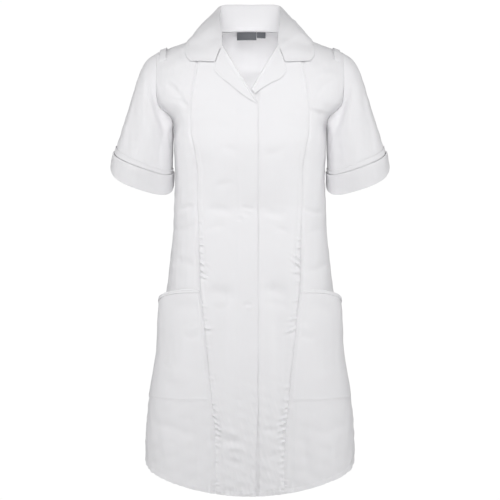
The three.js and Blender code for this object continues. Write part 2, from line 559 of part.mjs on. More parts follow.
/** A point of the collar: across runs from the neck seam over the fold to the outer edge. */
function collarPoint(place, across) {
  const part = Math.abs(place);
  const rail = (column) => read(COLLAR_RAILS, 'part', column, part);
  const seam = neckSeam(part);
  const fold = new THREE.Vector3(rail('foldX'), rail('foldY'), rail('foldZ'));
  const edge = restOnShoulder(rail('edgeX'), rail('edgeY'), COLLAR.edgeHeight);
  const outward = new THREE.Vector3(edge.x - seam.x, edge.y - seam.y, 0).normalize();
  const point = new THREE.Vector3();
  if (across <= 0) {
    // the stand: -1 is the neck seam, 0 the top of the fold, where it turns over
    const turned = 1 - Math.sqrt(Math.max(0, 1 - (1 + across) ** 6));
    const foldHalf = COLLAR.foldHalf * ease(part, 1, COLLAR.endFrom);
    point.lerpVectors(seam, fold.clone().addScaledVector(outward, -foldHalf), 1 + across);
    point.addScaledVector(outward, turned * foldHalf);
  } else {
    const start = fold.clone().addScaledVector(outward, COLLAR.foldHalf * COLLAR.foldTurn);
    point.lerpVectors(start, edge, across);
    const flatter = 1 - COLLAR.flatter * ease(part, COLLAR.flatFrom, 1);
    const belly = Math.sin(Math.PI * across ** COLLAR.flatFrom) * COLLAR.fallBulge * flatter;
    point.addScaledVector(outward, belly);
    point.z += belly * COLLAR.fallLift;
    // the front end runs straight to the notch, along the lapel's seam, and on to the point
    const notch = restOnShoulder(COLLAR_NOTCH.x, COLLAR_NOTCH.y, COLLAR.edgeHeight);
    const end = across < COLLAR_NOTCH.across
      ? fold.clone().lerp(notch, across / COLLAR_NOTCH.across)
      : notch.lerp(edge, (across - COLLAR_NOTCH.across) / (1 - COLLAR_NOTCH.across));
    point.lerp(end, ease(part, COLLAR_NOTCH.from, 1));
    clearShoulder(point, mix(COLLAR.clearAtFold, COLLAR.clear, across));
  }
  point.x *= Math.sign(place) || 1;
  return point;
}

function collar() {
  const across = [-1, -0.55, -0.2, -0.06, 0, 0.05, 0.2, 0.32, COLLAR_NOTCH.across, 0.72, 1];
  const along = steps(-1, 1, 30);
  return clothWall({
    across, along, place: (u, v) => collarPoint(v, u), thickness: DOUBLE_CLOTH, way: -1,
  });
}

function lapel(side) {
  const over = side === WEARER_RIGHT;
  const edges = over ? LAPEL_EDGE : UNDER_LAPEL_EDGE;
  const rollEnd = over ? { x: LAPEL.endX, z: LAPEL.endZ } : UNDER_LAPEL_END;
  const place = (across, part) => {
    const rollX = mix(GORGE_POINT.x, rollEnd.x, part);
    const rollZ = mix(GORGE_POINT.z, rollEnd.z, part);
    const x = mix(rollX, read(edges, 'part', 'x', part), across);
    const z = mix(rollZ, read(edges, 'part', 'z', part), across);
    const roll = LAPEL.rollRise * Math.max(0, 1 - across / LAPEL.rollWidth) ** 2;
    return frontPoint(side * x, z, LAPEL.lie + DOUBLE_CLOTH + roll);
  };
  const along = [0, 0.06, 0.12, 0.2, 0.3, 0.42, 0.55, 0.7, 0.85, 1];
  return clothWall({ across: [0, 0.12, 0.3, 0.6, 1], along, place, thickness: DOUBLE_CLOTH, way: -side });
}

// The pocket keeps to the side front's columns, a little inside its seams.
const POCKET_COLUMNS = SIDE_FRONT_COLUMNS.map((u) => THREE.MathUtils.clamp(u, POCKET.from, POCKET.to));

/** A point of the pocket: u as on the side front, v from the mouth (0) to the bottom (1). */
function pocketPlace(side, u, v, layer) {
  const mouth = mix(POCKET.mouthSeamZ, POCKET.mouthSideZ, u ** POCKET.mouthCurve);
  const bottom = mix(POCKET.bottomSeamZ, POCKET.bottomSideZ, u);
  const depth = v * (POCKET.mouthSeamZ - POCKET.bottomSeamZ);
  const gape = POCKET.gape * Math.sin(Math.PI * u ** POCKET.gapeSkew) * (1 - ease(depth, 0, POCKET.gapeReach));
  const level = mix(mouth, bottom, v);
  return offBody(side * sideFrontAngle(level, u), level, LAY_GAP + CLOTH + gape + layer);
}

function pocket(side) {
  return clothWall({
    across: POCKET_COLUMNS, along: [0, 0.05, 0.12, 0.22, 0.34, 0.48, 0.64, 0.82, 1],
    place: (u, v) => pocketPlace(side, u, v, 0), thickness: CLOTH, way: -side,
  });
}

function pocketTrim(side) {
  const deep = POCKET.trimHeight / (POCKET.mouthSeamZ - POCKET.bottomSeamZ);
  return clothWall({
    across: POCKET_COLUMNS, along: [0.002, deep / 2, deep],
    place: (u, v) => pocketPlace(side, u, v, LAY_GAP + CLOTH), thickness: CLOTH, way: -side,
  });
}

// The loop's rows: down the front from the shoulder seam, and down the back.
const LOOP_ROWS = [-36, -26, -16, -7, -2, 0, 0, -2, -7, -16, -26, -36];

function shoulderLoop(side) {
  const { x, halfWidth, rise, thickness } = SHOULDER_LOOP;
  const last = LOOP_ROWS.length - 1;
  const place = (u, v) => {
    const row = Math.min(Math.floor(v), last - 1);
    const level = mix(LOOP_ROWS[row], LOOP_ROWS[row + 1], v - row);
    const angle = angleAtX(mix(x - halfWidth, x + halfWidth, u), level);
    const arch = rise * Math.sin((Math.PI * v) / last);
    return offBody(side * (v > last / 2 ? Math.PI - angle : angle), level, LAY_GAP + thickness + arch);
  };
  return clothWall({ across: [0, 0.5, 1], along: steps(0, last, last), place, thickness, way: side });
}

/** A tape that hangs from the neck seam inside the back. */
function neckTape({ left, right, height, thickness, inset }) {
  const place = (u, v) => {
    const x = mix(left, right, u);
    const line = ridge(x, true);
    return new THREE.Vector3(x, line.y - inset + thickness, line.z - 1 - v * height);
  };
  return clothWall({ across: steps(0, 1, 5), along: [0, 0.5, 1], place, thickness, way: 1 });
}

for (const [name, side] of [['right', WEARER_RIGHT], ['left', WEARER_LEFT]]) {
  addPiece(`front_${name}`, centreFront(side));
  addPiece(`side_front_${name}`, sideFront(side));
  addPiece(`sleeve_${name}`, sleeve(side));
  addPiece(`cuff_${name}`, cuff(side));
  addPiece(`cuff_trim_${name}`, cuffTrim(side));
  addPiece(`lapel_${name}`, lapel(side));
  addPiece(`pocket_${name}`, pocket(side));
  addPiece(`pocket_trim_${name}`, pocketTrim(side));
  addPiece(`shoulder_loop_${name}`, shoulderLoop(side));
}
addPiece('back', back());
addPiece('collar', collar());
addPiece('neck_label', neckTape(LABEL), LABEL_SATIN);
addPiece('size_tab', neckTape(SIZE_TAB), LABEL_SATIN);

export default tunic;
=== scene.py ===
"""A short-sleeved white medical tunic: thin cloth shells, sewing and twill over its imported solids."""

import math

import bmesh
import bpy
import numpy as np
from bpy.props import FloatProperty, FloatVectorProperty, PointerProperty
from bpy.types import Operator, Panel, PropertyGroup
from mathutils import Matrix, Vector


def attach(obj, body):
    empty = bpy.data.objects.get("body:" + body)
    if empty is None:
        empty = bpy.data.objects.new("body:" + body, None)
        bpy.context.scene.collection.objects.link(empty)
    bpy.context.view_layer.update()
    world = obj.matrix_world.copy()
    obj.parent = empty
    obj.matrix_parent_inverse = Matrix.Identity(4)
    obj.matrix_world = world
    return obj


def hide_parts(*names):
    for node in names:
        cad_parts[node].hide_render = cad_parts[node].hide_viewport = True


bl_info = {
    "name": "Medical tunic",
    "version": (1, 0, 0),
    "blender": (4, 5, 0),
    "location": "View3D > Sidebar > Tunic",
    "description": "Cuts, sews and finishes a short-sleeved white medical tunic",
    "category": "Object",
}

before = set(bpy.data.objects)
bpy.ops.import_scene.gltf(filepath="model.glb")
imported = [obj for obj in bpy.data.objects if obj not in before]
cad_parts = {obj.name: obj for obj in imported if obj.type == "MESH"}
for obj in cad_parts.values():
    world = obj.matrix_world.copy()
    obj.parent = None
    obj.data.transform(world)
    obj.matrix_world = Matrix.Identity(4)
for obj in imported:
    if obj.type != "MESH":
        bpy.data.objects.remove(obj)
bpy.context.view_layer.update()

MM = 0.001
STEP, LEVEL_STEP = 0.01, 1.5      # small moves that tell which way a surface faces
RIGHT, LEFT = -1, 1      # the wearer's sides; the right front closes on top
SIDES = (("right", RIGHT), ("left", LEFT))


# ------------------------------------------------------------------ tables and sizes
class Table:
    """Rows of numbers under named columns, read along a smooth curve through them."""

    def __init__(self, heads, rows):
        self.columns = dict(zip(heads.split(), np.array(rows, float).T))

    def __call__(self, column, at):
        key = next(iter(self.columns.values()))
        values = self.columns[column]
        order = np.argsort(key)
        key, values = key[order], values[order]
        slopes = np.empty_like(values)
        slopes[1:-1] = (values[2:] - values[:-2]) / (key[2:] - key[:-2])
        slopes[0] = (values[1] - values[0]) / (key[1] - key[0])
        slopes[-1] = (values[-1] - values[-2]) / (key[-1] - key[-2])
        at = np.clip(at, key[0], key[-1])
        i = np.clip(np.searchsorted(key, at, side="right") - 1, 0, len(key) - 2)
        span = key[i + 1] - key[i]
        u = (at - key[i]) / span
        start = 2 * u**3 - 3 * u**2 + 1
        return (start * values[i] + (1 - start) * values[i + 1]
                + span * (slopes[i] * (u**3 - 2 * u**2 + u) + slopes[i + 1] * (u**3 - u**2)))

    def rows(self):
        return zip(*self.columns.values())


# Sizes in millimetres: x runs to the wearer's left, y to the back and z up from the neck.
UNDERARM_Z, HEM_Z, VENT_TOP_Z = -205, -920, -785
# The neck opening, the shoulders and how round the body turns over them.
NECK_HALF, NECK_RIDGE_Y, NECK_BACK_Y, NECK_BACK_RISE, NECK_FRONT_CURVE = 70, 8, 66, 9, 0.7
SHOULDER_SLOPE, SHOULDER_TIP_X, SHOULDER_SEAM_HALF = 0.37, 192, 0.45
FRONT_ROUND, BACK_ROUND, TIP_ROUND = 140, 110, 95
# Where the roll line starts and ends, and how far the left front reaches and dips under the right one.
BREAK_X, BREAK_Z = 15, -159
GORGE_X, GORGE_Z = 55, -41.5
UNDER_REACH, UNDER_DIP, UNDER_DIP_WIDTH, FRONT_SWING = 20, 2.4, 2.4, 4

# The body's rings by level: rounded rectangles of their own front and back depth.
RINGS = Table("z half_width front back squareness", [
    (0, 204, 104, 108, 2.4), (-70, 202, 106, 112, 2.4), (-96, 200, 107, 113, 2.4),
    (-125, 196, 109, 114, 2.4), (-142, 191, 110.5, 114, 2.45), (-153, 184, 112, 114, 2.45),
    (-164, 174.5, 113.5, 113.5, 2.5), (-174, 167, 115, 113, 2.5), (-186, 161, 117, 112, 2.55),
    (-205, 156.5, 119, 111, 2.55), (-240, 155, 122, 107, 2.6), (-300, 153, 112, 99, 2.45),
    (-359, 155.5, 102, 94, 2.25), (-410, 157, 104, 102, 2.2), (-457, 162, 108, 114, 2.2),
    (-523, 169.5, 112, 127, 2.2), (-590, 179, 117, 131, 2.25), (-654, 189, 122, 133, 2.3),
    (-752, 206, 129, 135, 2.35), (-851, 212, 134, 137, 2.4), (-920, 213, 136, 138, 2.4),
])
ARMHOLE = Table("z x", [
    (0, SHOULDER_TIP_X), (-25, 190.5), (-70, 190), (-100, 189), (-125, 187.5), (-142, 185), (-153, 179.5),
    (-164, 170.5), (-174, 163.8), (-186, 159), (-205, 156.5),
])
PRINCESS_SEAM = Table("z x", [
    (0, 99.5), (-69, 104), (-110, 110), (-151, 116.3), (-211, 118.6), (-251, 112), (-300, 106.5),
    (-350, 106), (-409, 102), (-469, 100), (-528, 98), (-587, 92), (-646, 86), (-705, 80), (-763, 74),
    (-821, 69), (-920, 67),
])
SIDE_SEAM = Table("z y", [(-205, 0), (-300, 5), (-450, 9), (-920, 10)])
# The hem's levels, its round corners at the vents, and the darts.
HEM_FRONT, HEM_BACK, HEM_SIDE = -930, -922, -888
HEM_CORNER_WIDTH, HEM_CORNER_RISE, HEM_CORNER_ROUND = 95, 60, 0.97
HEM_REACH, HEM_GATHER, VENT_OPEN, DART_X = 220, 1.5, 1.7, 62

# Soft folds of the body: x and z of the middle, halves of the extent, height and sideways lean.
FRONT_FOLDS = Table("x z half_wide half_high height lean", [
    (-103, -290, 26, 62, -5, 0), (104, -286, 24, 55, -4.5, 0), (-50, -610, 20, 110, -5, 0.05),
    (55, -600, 22, 100, -5.5, -0.06), (-68, -820, 24, 70, -3.5, 0), (67, -812, 22, 76, -3.5, 0),
    (20, -365, 60, 16, -3, 0), (-160, -190, 22, 26, -4, -0.4), (160, -188, 22, 24, -4, 0.4),
])
BACK_FOLDS = Table("x z half_wide half_high height lean", [
    (-62, -352, 18, 105, -6, 0.02), (63, -350, 18, 105, -6, -0.02), (-8, -372, 95, 17, -5, 0),
    (14, -418, 80, 16, -3.5, 0), (-120, -170, 26, 60, -5, -0.25), (122, -166, 26, 58, -5, 0.25),
    (-70, -760, 30, 150, -6, 0.04), (78, -740, 32, 160, -6, -0.05), (2, -800, 26, 130, 4, 0),
])
FOLD_FADE = 45

# Rings of the left sleeve, from the armhole (0) to the hem (1): the outer and the inner point, half the
# depth, how far the front and the back hang below those points, and how far the ring lies behind.
SLEEVE_RINGS = Table("part outer_x outer_z inner_x inner_z half_depth front_drop back_drop behind", [
    (0, 192, -45, 156.5, -205, 46, 0, 0, 0), (0.06, 209, -57, 156.5, -207, 49, 0, 0, 0),
    (0.14, 221, -75, 156.5, -211, 53, 0, 0, 0), (0.24, 231, -101, 156.6, -218.5, 56, 1, 0, 0),
    (0.36, 240.5, -132, 156.8, -228.5, 57, 3, -1, 0), (0.5, 249.5, -162, 157, -242, 56, 5.5, -2, 0),
    (0.64, 260, -194, 157.3, -258, 54, 9, -3, 0), (0.78, 271, -229, 158.2, -277, 52.5, 13.5, -4, 1),
    (0.845, 276.5, -247.5, 159.2, -288.5, 52, 16, -4, 2),
    (0.92, 280.8, -261.5, 159.2, -303, 51.2, 22.5, -1, 6), (1, 285, -277, 158.4, -318, 50, 30, 3, 10),
])
DROP_TURN, DROP_ROUND = 0.3, 1.35
# Soft folds of the sleeve: turn in degrees and part of the middle, halves of the extent, and height.
SLEEVE_FOLDS = Table("turn part half_turn half_part height", [
    (128, 0.3, 16, 0.14, -6), (96, 0.42, 14, 0.2, 3), (55, 0.62, 18, 0.25, -3), (236, 0.33, 17, 0.16, -6),
    (282, 0.6, 22, 0.22, -3.5),
])
# Where the sleeve's cap ends and the cuff and its band begin, and how far those stand off the sleeve.
CAP_PART, CUFF_PART, TRIM_PART, SLEEVE_COLUMNS, SLEEVE_LONG = 0.4, 0.845, 0.805, 120, 130
CUFF_TOP_STAND, CUFF_HEM_STAND, TRIM_STAND, TRIM_RIDGE, SLEEVE_GAP = 4.2, 2.5, 1.7, 1.2, 0.3

# The collar's rails, from the middle of the back (0) to its front end (1).
COLLAR_RAILS = Table("part fold_x fold_y fold_z edge_x edge_y", [
    (0, 0, 63, 65, 0, 92), (0.18, 34, 57.5, 64.5, 45, 88), (0.36, 59.5, 39, 59, 86, 71),
    (0.5, 63, 14, 41, 109, 39), (0.64, 62.3, -10, 25, 120, 7), (0.76, 61, -31, 8, 126, -23),
    (0.88, 58.7, -52, -13, 128.5, -53), (0.94, 57.2, -62, -24.5, 127, -66),
    (1, 55.5, -72, -36.5, 119, -75.5),
])
COLLAR_EDGE_RISE, COLLAR_FOLD_HALF, COLLAR_BULGE, COLLAR_CLEAR, NECK_SEAM_RISE = 3, 4, 15, 3.7, 0.6
NOTCH_X, NOTCH_Y, NOTCH_ACROSS, NOTCH_FROM = 69, -91, 0.44, 0.8

# The lapels' outer edges in front view, from the gorge (0) to the end of the roll line (1).
OVER_LAPEL = Table("part x z", [
    (0, 68, -79.8), (0.12, 71, -93), (0.22, 64, -102.5), (0.5, 36, -126), (0.75, 9, -147.5),
    (1, -13.5, -162),
])
UNDER_LAPEL = Table("part x z", [
    (0, 68.5, -80), (0.13, 72.5, -94), (0.28, 60.5, -110.5), (0.5, 44.5, -118), (0.8, 24.5, -130.5),
    (1, 9.5, -141),
])
OVER_LAPEL_END, UNDER_LAPEL_END = (-13.5, -157), (2.2, -131.5)
LAPEL_LIE, LAPEL_ROLL, LAPEL_ROLL_WIDTH = 2.7, 2.2, 0.3

# Pockets from the princess seam to the side seam, shoulder loops, and the tapes in the neck seam.
MOUTH_SEAM_Z, MOUTH_SIDE_Z, MOUTH_CURVE, BOTTOM_SEAM_Z, BOTTOM_SIDE_Z = -526.5, -562, 2.8, -746, -752
POCKET_FROM, POCKET_TO, POCKET_GAPE, POCKET_SKEW, POCKET_GAPE_REACH = 0.012, 0.985, 12, 3, 150
POCKET_TRIM, POCKET_STAND, POCKET_TRIM_STAND = 8, 2.0, 1.1
LOOP_X, LOOP_HALF, LOOP_RISE, LOOP_THICK, LOOP_CLEAR, LOOP_END = 176, 7, 1.4, 1.6, 0.5, -36
NECK_TAPES = {"neck_label": (-27.3, 13.4, 17), "size_tab": (14.4, 32.5, 12.5)}
TAPE_INSET, TAPE_THICK, TAPE_WALL = 2.7, 0.8, 0.56

# How far behind its edge each row of stitches runs, and how wide the turned-in cloth is.
HEM_TURN, EDGE_TURN, SEAM_TURN, FLY_IN, FACING_END = 8.5, 6.5, 11, 41.5, 50
EDGE_STITCH, STAND_STITCH, ARMHOLE_STITCH, VENT_STITCH, POCKET_STITCH, LOOP_STITCH = 5, 10.5, 6, 8, 2.2, 1.6
LEAST_FLAT = 0.0101      # the smallest side given to a cut's flat size, in metres
FLOOR_RADIUS, FLOOR_Z = 1.9, -1.35


# ------------------------------------------------------------------ small tools
def ease(value, start, end):
    """0 before start, 1 after end, and a soft step between them."""
    u = np.clip((value - start) / (end - start), 0, 1)
    return u * u * (3 - 2 * u)


def mix(a, b, share):
    """a at a share of 0, b at 1."""
    return a + (b - a) * share


def stack(x, y, z):
    """Points from their coordinates, which may be numbers or grids."""
    return np.stack(np.broadcast_arrays(x, y, z), axis=-1).astype(float)


def unit(vectors):
    """The vectors, each made one long."""
    return vectors / np.maximum(np.linalg.norm(vectors, axis=-1, keepdims=True), 1e-9)


def spread(length, step, fine=0.0, band=0.0, start=True):
    """Places from 0 to 1 along a length, step apart, and fine apart in a band at its ends."""
    marks = [0.0]
    at = 0.0
    while at < length - 1e-6:
        near = (start and at < band) or at > length - band
        at = min(length, at + (fine if near and fine else step))
        marks.append(at)
    return np.array(marks) / length


def bell(distance, half):
    """1 on a line, fading softly to almost 0 at twice half from it."""
    return np.exp(-((distance / half) ** 2))


# ------------------------------------------------------------------ the body's surface
def ridge(x, back):
    """y, z and roundness of the shoulder line at a distance x from the middle."""
    reach = np.abs(x)
    over_neck = np.maximum(0, 1 - (x / NECK_HALF) ** 2)
    y = np.where(back, NECK_RIDGE_Y + (NECK_BACK_Y - NECK_RIDGE_Y) * np.sqrt(over_neck), NECK_RIDGE_Y)
    z = np.where(back, NECK_BACK_RISE * over_neck, 0) - np.maximum(0, reach - NECK_HALF) * SHOULDER_SLOPE
    at_neck = np.where(back, BACK_ROUND, FRONT_ROUND)
    return y, z, mix(at_neck, TIP_ROUND, ease(reach, NECK_HALF, SHOULDER_TIP_X))


def fold_height(x, y, z):
    """The body's soft folds, which fade out towards the side seams."""
    height = 0
    for table, side in ((FRONT_FOLDS, y <= 0), (BACK_FOLDS, y > 0)):
        for at_x, at_z, half_wide, half_high, tall, lean in table.rows():
            wide = (x - at_x - lean * (z - at_z)) / half_wide
            high = (z - at_z) / half_high
            height = height + side * tall * np.exp(-wide * wide - high * high)
    return height * ease(np.abs(y), 0, FOLD_FADE)


def angle_at_x(x, level):
    """The ring angle of a place: 0 at the middle of the front and a half turn at the back."""
    share = np.minimum(1, np.abs(x) / RINGS("half_width", level))
    return np.sign(x) * np.arcsin(share ** (RINGS("squareness", level) / 2))


def angle_at_y(y, level):
    """The ring angle at a place in depth, on the wearer's left."""
    depth = np.where(y > 0, RINGS("back", level), RINGS("front", level))
    share = np.minimum(1, np.abs(y) / depth) ** (RINGS("squareness", level) / 2)
    return math.pi / 2 + np.sign(y) * np.arcsin(share)


def hem_z(x, y, half_width):
    """The hem's own curve: lower at the middle, and round at the vents."""
    from_vent = np.abs(y - SIDE_SEAM("y", HEM_Z))
    corner = HEM_CORNER_ROUND * np.maximum(0, 1 - from_vent / HEM_CORNER_WIDTH)
    lift = HEM_CORNER_RISE * (1 - np.sqrt(1 - corner * corner))
    return mix(np.where(y > 0, HEM_BACK, HEM_FRONT), HEM_SIDE, (x / half_width) ** 2) + lift


def body_point(angle, level):
    """A point of the body's outer surface, in millimetres, by ring angle and level."""
    sine, cosine = np.sin(angle), np.cos(angle)
    back = cosine < 0
    power = 2 / RINGS("squareness", level)
    half_width = RINGS("half_width", level)
    depth = np.where(back, RINGS("back", level), RINGS("front", level))
    x = half_width * np.sign(sine) * np.abs(sine) ** power
    ring_y = np.where(back, 1, -1) * depth * np.abs(cosine) ** power
    outward = unit(stack(x / half_width**2, ring_y / depth**2, 0 * x))
    to_hem = ease(level, HEM_Z + HEM_REACH, HEM_Z) ** HEM_GATHER
    low_z = level + (hem_z(x, ring_y, half_width) - HEM_Z) * to_hem
    line_y, line_z, line_round = ridge(x, back)
    high_z = mix(UNDERARM_Z, line_z, 1 - level / UNDERARM_Z)
    below = np.clip((line_z - high_z) / line_round, 0, 1)
    parted = np.where(back, SHOULDER_SEAM_HALF, -SHOULDER_SEAM_HALF) * ease(level, -20, 0)
    high_y = mix(line_y + parted, ring_y, np.sqrt(1 - (1 - below) ** 2))
    high = level > UNDERARM_Z
    z = np.where(high, high_z, low_z)
    point = stack(x, np.where(high, high_y, ring_y), z)
    return point + outward * fold_height(x, ring_y, z)[..., None]


def body_normal(angle, level):
    """The outward direction of the body's surface."""
    across = body_point(angle + STEP, level) - body_point(angle - STEP, level)
    up = body_point(angle, np.minimum(0, level + LEVEL_STEP)) - body_point(angle, level - LEVEL_STEP)
    return unit(np.cross(across, up))


def off_body(angle, level, height):
    """A point moved out of the body's surface."""
    return body_point(angle, level) + body_normal(angle, level) * np.asarray(height)[..., None]


def under_plan(x, y):
    """The ring angle and level at a place in plan on the upper body."""
    back = y > ridge(x, True)[0]
    low = np.full(np.shape(x), float(UNDERARM_Z))
    high = np.zeros(np.shape(x))

    def angle_at(level):
        return np.where(back, math.pi - angle_at_x(x, level), angle_at_x(x, level))

    for _ in range(24):
        level = (low + high) / 2
        at_y = body_point(angle_at(level), level)[..., 1]
        outside = np.where(back, at_y > y, at_y < y)
        low, high = np.where(outside, level, low), np.where(outside, high, level)
    return angle_at(high), high


def rest_on_shoulder(x, y, height):
    """A point at a height over the shoulders, by its place in plan."""
    x, y = np.broadcast_arrays(x, y)
    angle, level = under_plan(x, y)
    return off_body(angle, level, np.broadcast_to(height, x.shape))


def front_point(x, z, height):
    """A point in front of the upper body, by its place in front view."""
    line_z = ridge(x, False)[1]
    level = UNDERARM_Z * (1 - (z - UNDERARM_Z) / (line_z - UNDERARM_Z))
    return off_body(angle_at_x(x, level), level, height)


# ------------------------------------------------------------------ cloth
class Cloth:
    """One piece as a grid of points in millimetres. Columns run across it and rows run down it."""

    def __init__(self, columns, rows, place, way, tube=False):
        self.way, self.tube = way, tube
        self.u, self.v = np.meshgrid(columns, rows)
        self.points = place(self.u, self.v)
        self.measure()

    def measure(self):
        across = np.linalg.norm(np.diff(self.points, axis=1), axis=2)
        down = np.linalg.norm(np.diff(self.points, axis=0), axis=2)
        self.run = np.pad(np.cumsum(across, axis=1), ((0, 0), (1, 0)))
        self.fall = np.pad(np.cumsum(down, axis=0), ((1, 0), (0, 0)))
        self.run_back = self.run[:, -1:] - self.run
        self.fall_back = self.fall[-1:] - self.fall
        self.x, self.y, self.z = np.moveaxis(self.points, 2, 0)

    def normals(self):
        points = self.points
        if self.tube:
            points = np.concatenate([points[:, -2:-1], points, points[:, 1:2]], axis=1)
        across = np.gradient(points, axis=1)
        down = np.gradient(points, axis=0)
        normal = unit(np.cross(across, down)) * self.way
        return normal[:, 1:-1] if self.tube else normal

    def lift(self, height):
        """Moves every point out of the surface by its height."""
        self.points = self.points + self.normals() * np.asarray(height)[..., None]
        self.x, self.y, self.z = np.moveaxis(self.points, 2, 0)

    def area(self):
        """Area of the cut cloth in square metres."""
        p = self.points * MM
        a = np.linalg.norm(np.cross(p[1:, 1:] - p[:-1, :-1], p[1:, :-1] - p[:-1, 1:]), axis=2) / 2
        return float(a.sum())

    def thread(self, reading, at, rows=True, start=0.0, end=1.0):
        """A line over the piece where a reading, such as run, has a value. rows takes one point a row."""
        lines = []
        normals = self.normals()
        count = self.points.shape[0] if rows else self.points.shape[1]
        first, last = int(round(start * (count - 1))), int(round(end * (count - 1)))
        for i in range(first, last + 1):
            cut = (i, slice(None)) if rows else (slice(None), i)
            key = reading[cut]
            order = np.argsort(key)
            lines.append([np.interp(at, key[order], grid[cut][order, axis])
                          for grid in (self.points, normals) for axis in range(3)])
        lines = np.array(lines)
        return lines[:, :3], unit(lines[:, 3:])


def cloth_mesh(name, cloth):
    """Makes the piece's mesh from a grid, with a map of its flat cut in metres."""
    rows, columns = cloth.points.shape[:2]
    bm = bmesh.new()
    bmesh.ops.create_grid(bm, x_segments=columns - 1, y_segments=rows - 1, size=1)
    flat = bm.loops.layers.uv.new("cut")
    places = []
    for vert in bm.verts:
        i = round((vert.co.x + 1) / 2 * (columns - 1))
        j = round((vert.co.y + 1) / 2 * (rows - 1))
        places.append((j, i))
        vert.co = cloth.points[j, i] * MM
    run, fall = cloth.run * MM, cloth.fall * MM
    for face in bm.faces:
        for loop in face.loops:
            spot = places[loop.vert.index]
            loop[flat].uv = (run[spot], -fall[spot])
    if cloth.way < 0:
        bmesh.ops.reverse_faces(bm, faces=bm.faces)
    if cloth.tube:
        bmesh.ops.remove_doubles(bm, verts=bm.verts, dist=0.00001)
    for face in bm.faces:
        face.smooth = True
    mesh = bpy.data.meshes.new(name)
    bm.to_mesh(mesh)
    bm.free()
    return mesh


def sew_in(node, cloth, thickness, finish="white twill", bevel=0.35):
    """Adds a finished piece of cloth that stands for the solid of one node and lies on others."""
    name = f"cloth_{node}"
    piece = bpy.data.objects.new(name, cloth_mesh(name, cloth))
    bpy.context.collection.objects.link(piece)
    piece.data.materials.append(bpy.data.materials[finish])
    wall = piece.modifiers.new("wall", "SOLIDIFY")
    wall.thickness, wall.offset, wall.use_rim = thickness, -1, True
    edge = piece.modifiers.new("soft edge", "BEVEL")
    edge.width, edge.segments, edge.limit_method, edge.angle_limit = bevel * MM, 2, "ANGLE", math.radians(60)
    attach(piece, "root")
    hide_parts(node)
    wide, long = float(cloth.run[:, -1].max()) * MM, float(cloth.fall[-1].max()) * MM
    flat = (max(wide, LEAST_FLAT), max(long, LEAST_FLAT))
    min(cloth.area(), flat[0] * flat[1])
    round(cloth.area(), 4)


# ------------------------------------------------------------------ relief of sewn cloth
def creases(table, x, z):
    """Soft strokes pressed in or raised: two ends in front view, a bow, half the width and the height."""
    height = np.zeros_like(x)
    for x0, z0, x1, z1, bow, half, tall in table.rows():
        long = math.hypot(x1 - x0, z1 - z0)
        way_x, way_z = (x1 - x0) / long, (z1 - z0) / long
        t = ((x - x0) * way_x + (z - z0) * way_z) / long
        off = ((z - z0) * way_x - (x - x0) * way_z - bow * 4 * t * (1 - t)) / half
        taper = ease(t, -0.2, 0.35) * (1 - ease(t, 0.65, 1.2))
        height += tall * taper * np.exp(-off * off)
    return height


PUCKER_LEAN, PUCKER_HALF = 1.2, 0.95      # shares of a pucker's lean and half


def puckers(table, away, z):
    """Short ripples that start at a seam: level, lean, reach, half the width and height."""
    height = np.zeros_like(z)
    for at, lean, reach, half, tall in table.rows():
        off = (z - at + PUCKER_LEAN * lean * away) / (PUCKER_HALF * half)
        near = (1 - ease(away, 0.3 * reach, 1.3 * reach)) * ease(away, -2, 2)
        height += tall * near * (1 - 2 * off * off) * np.exp(-off * off)
    return height


def uneven(along, pitch, seed):
    """An irregular ripple along a seam, between about -1 and 1."""
    turn = 2 * math.pi * along / pitch
    return (np.sin(turn + seed) + 0.7 * np.sin(1.618 * turn + 2.3 * seed)
            + 0.5 * np.sin(0.577 * turn + 4.1 * seed)) / 1.7


def rumple(along, up, pitch, seed):
    """Low waves that cross each other all over a worn cloth, between about -1 and 1."""
    u, w = 2 * math.pi * along / pitch, 2 * math.pi * up / pitch
    return (np.sin(u + 0.6 * w + seed) * np.sin(0.37 * u - w + 2 * seed)
            + 0.7 * np.sin(1.7 * u - 0.8 * w + 3 * seed) * np.sin(0.9 * w + 1.3 * u + seed)) / 1.5


def drawn_in(distance, deep=1.1, half=1.5):
    """The dip where a panel turns into its seam."""
    return -deep * bell(distance, half)


def turning(distance, width, proud):
    """The step of the turned-in cloth behind an edge."""
    return proud * (1 - ease(distance, width - 1, width + 1))


def groove(distance, at, deep=0.3, half=0.9):
    """The line where stitches pull the cloth in."""
    return -deep * bell(distance - at, half)


def rounding(distance, deep, within):
    """How a pressed edge rounds off: deep at the edge itself, and gone a little way in."""
    return -deep * np.exp(-distance / within)


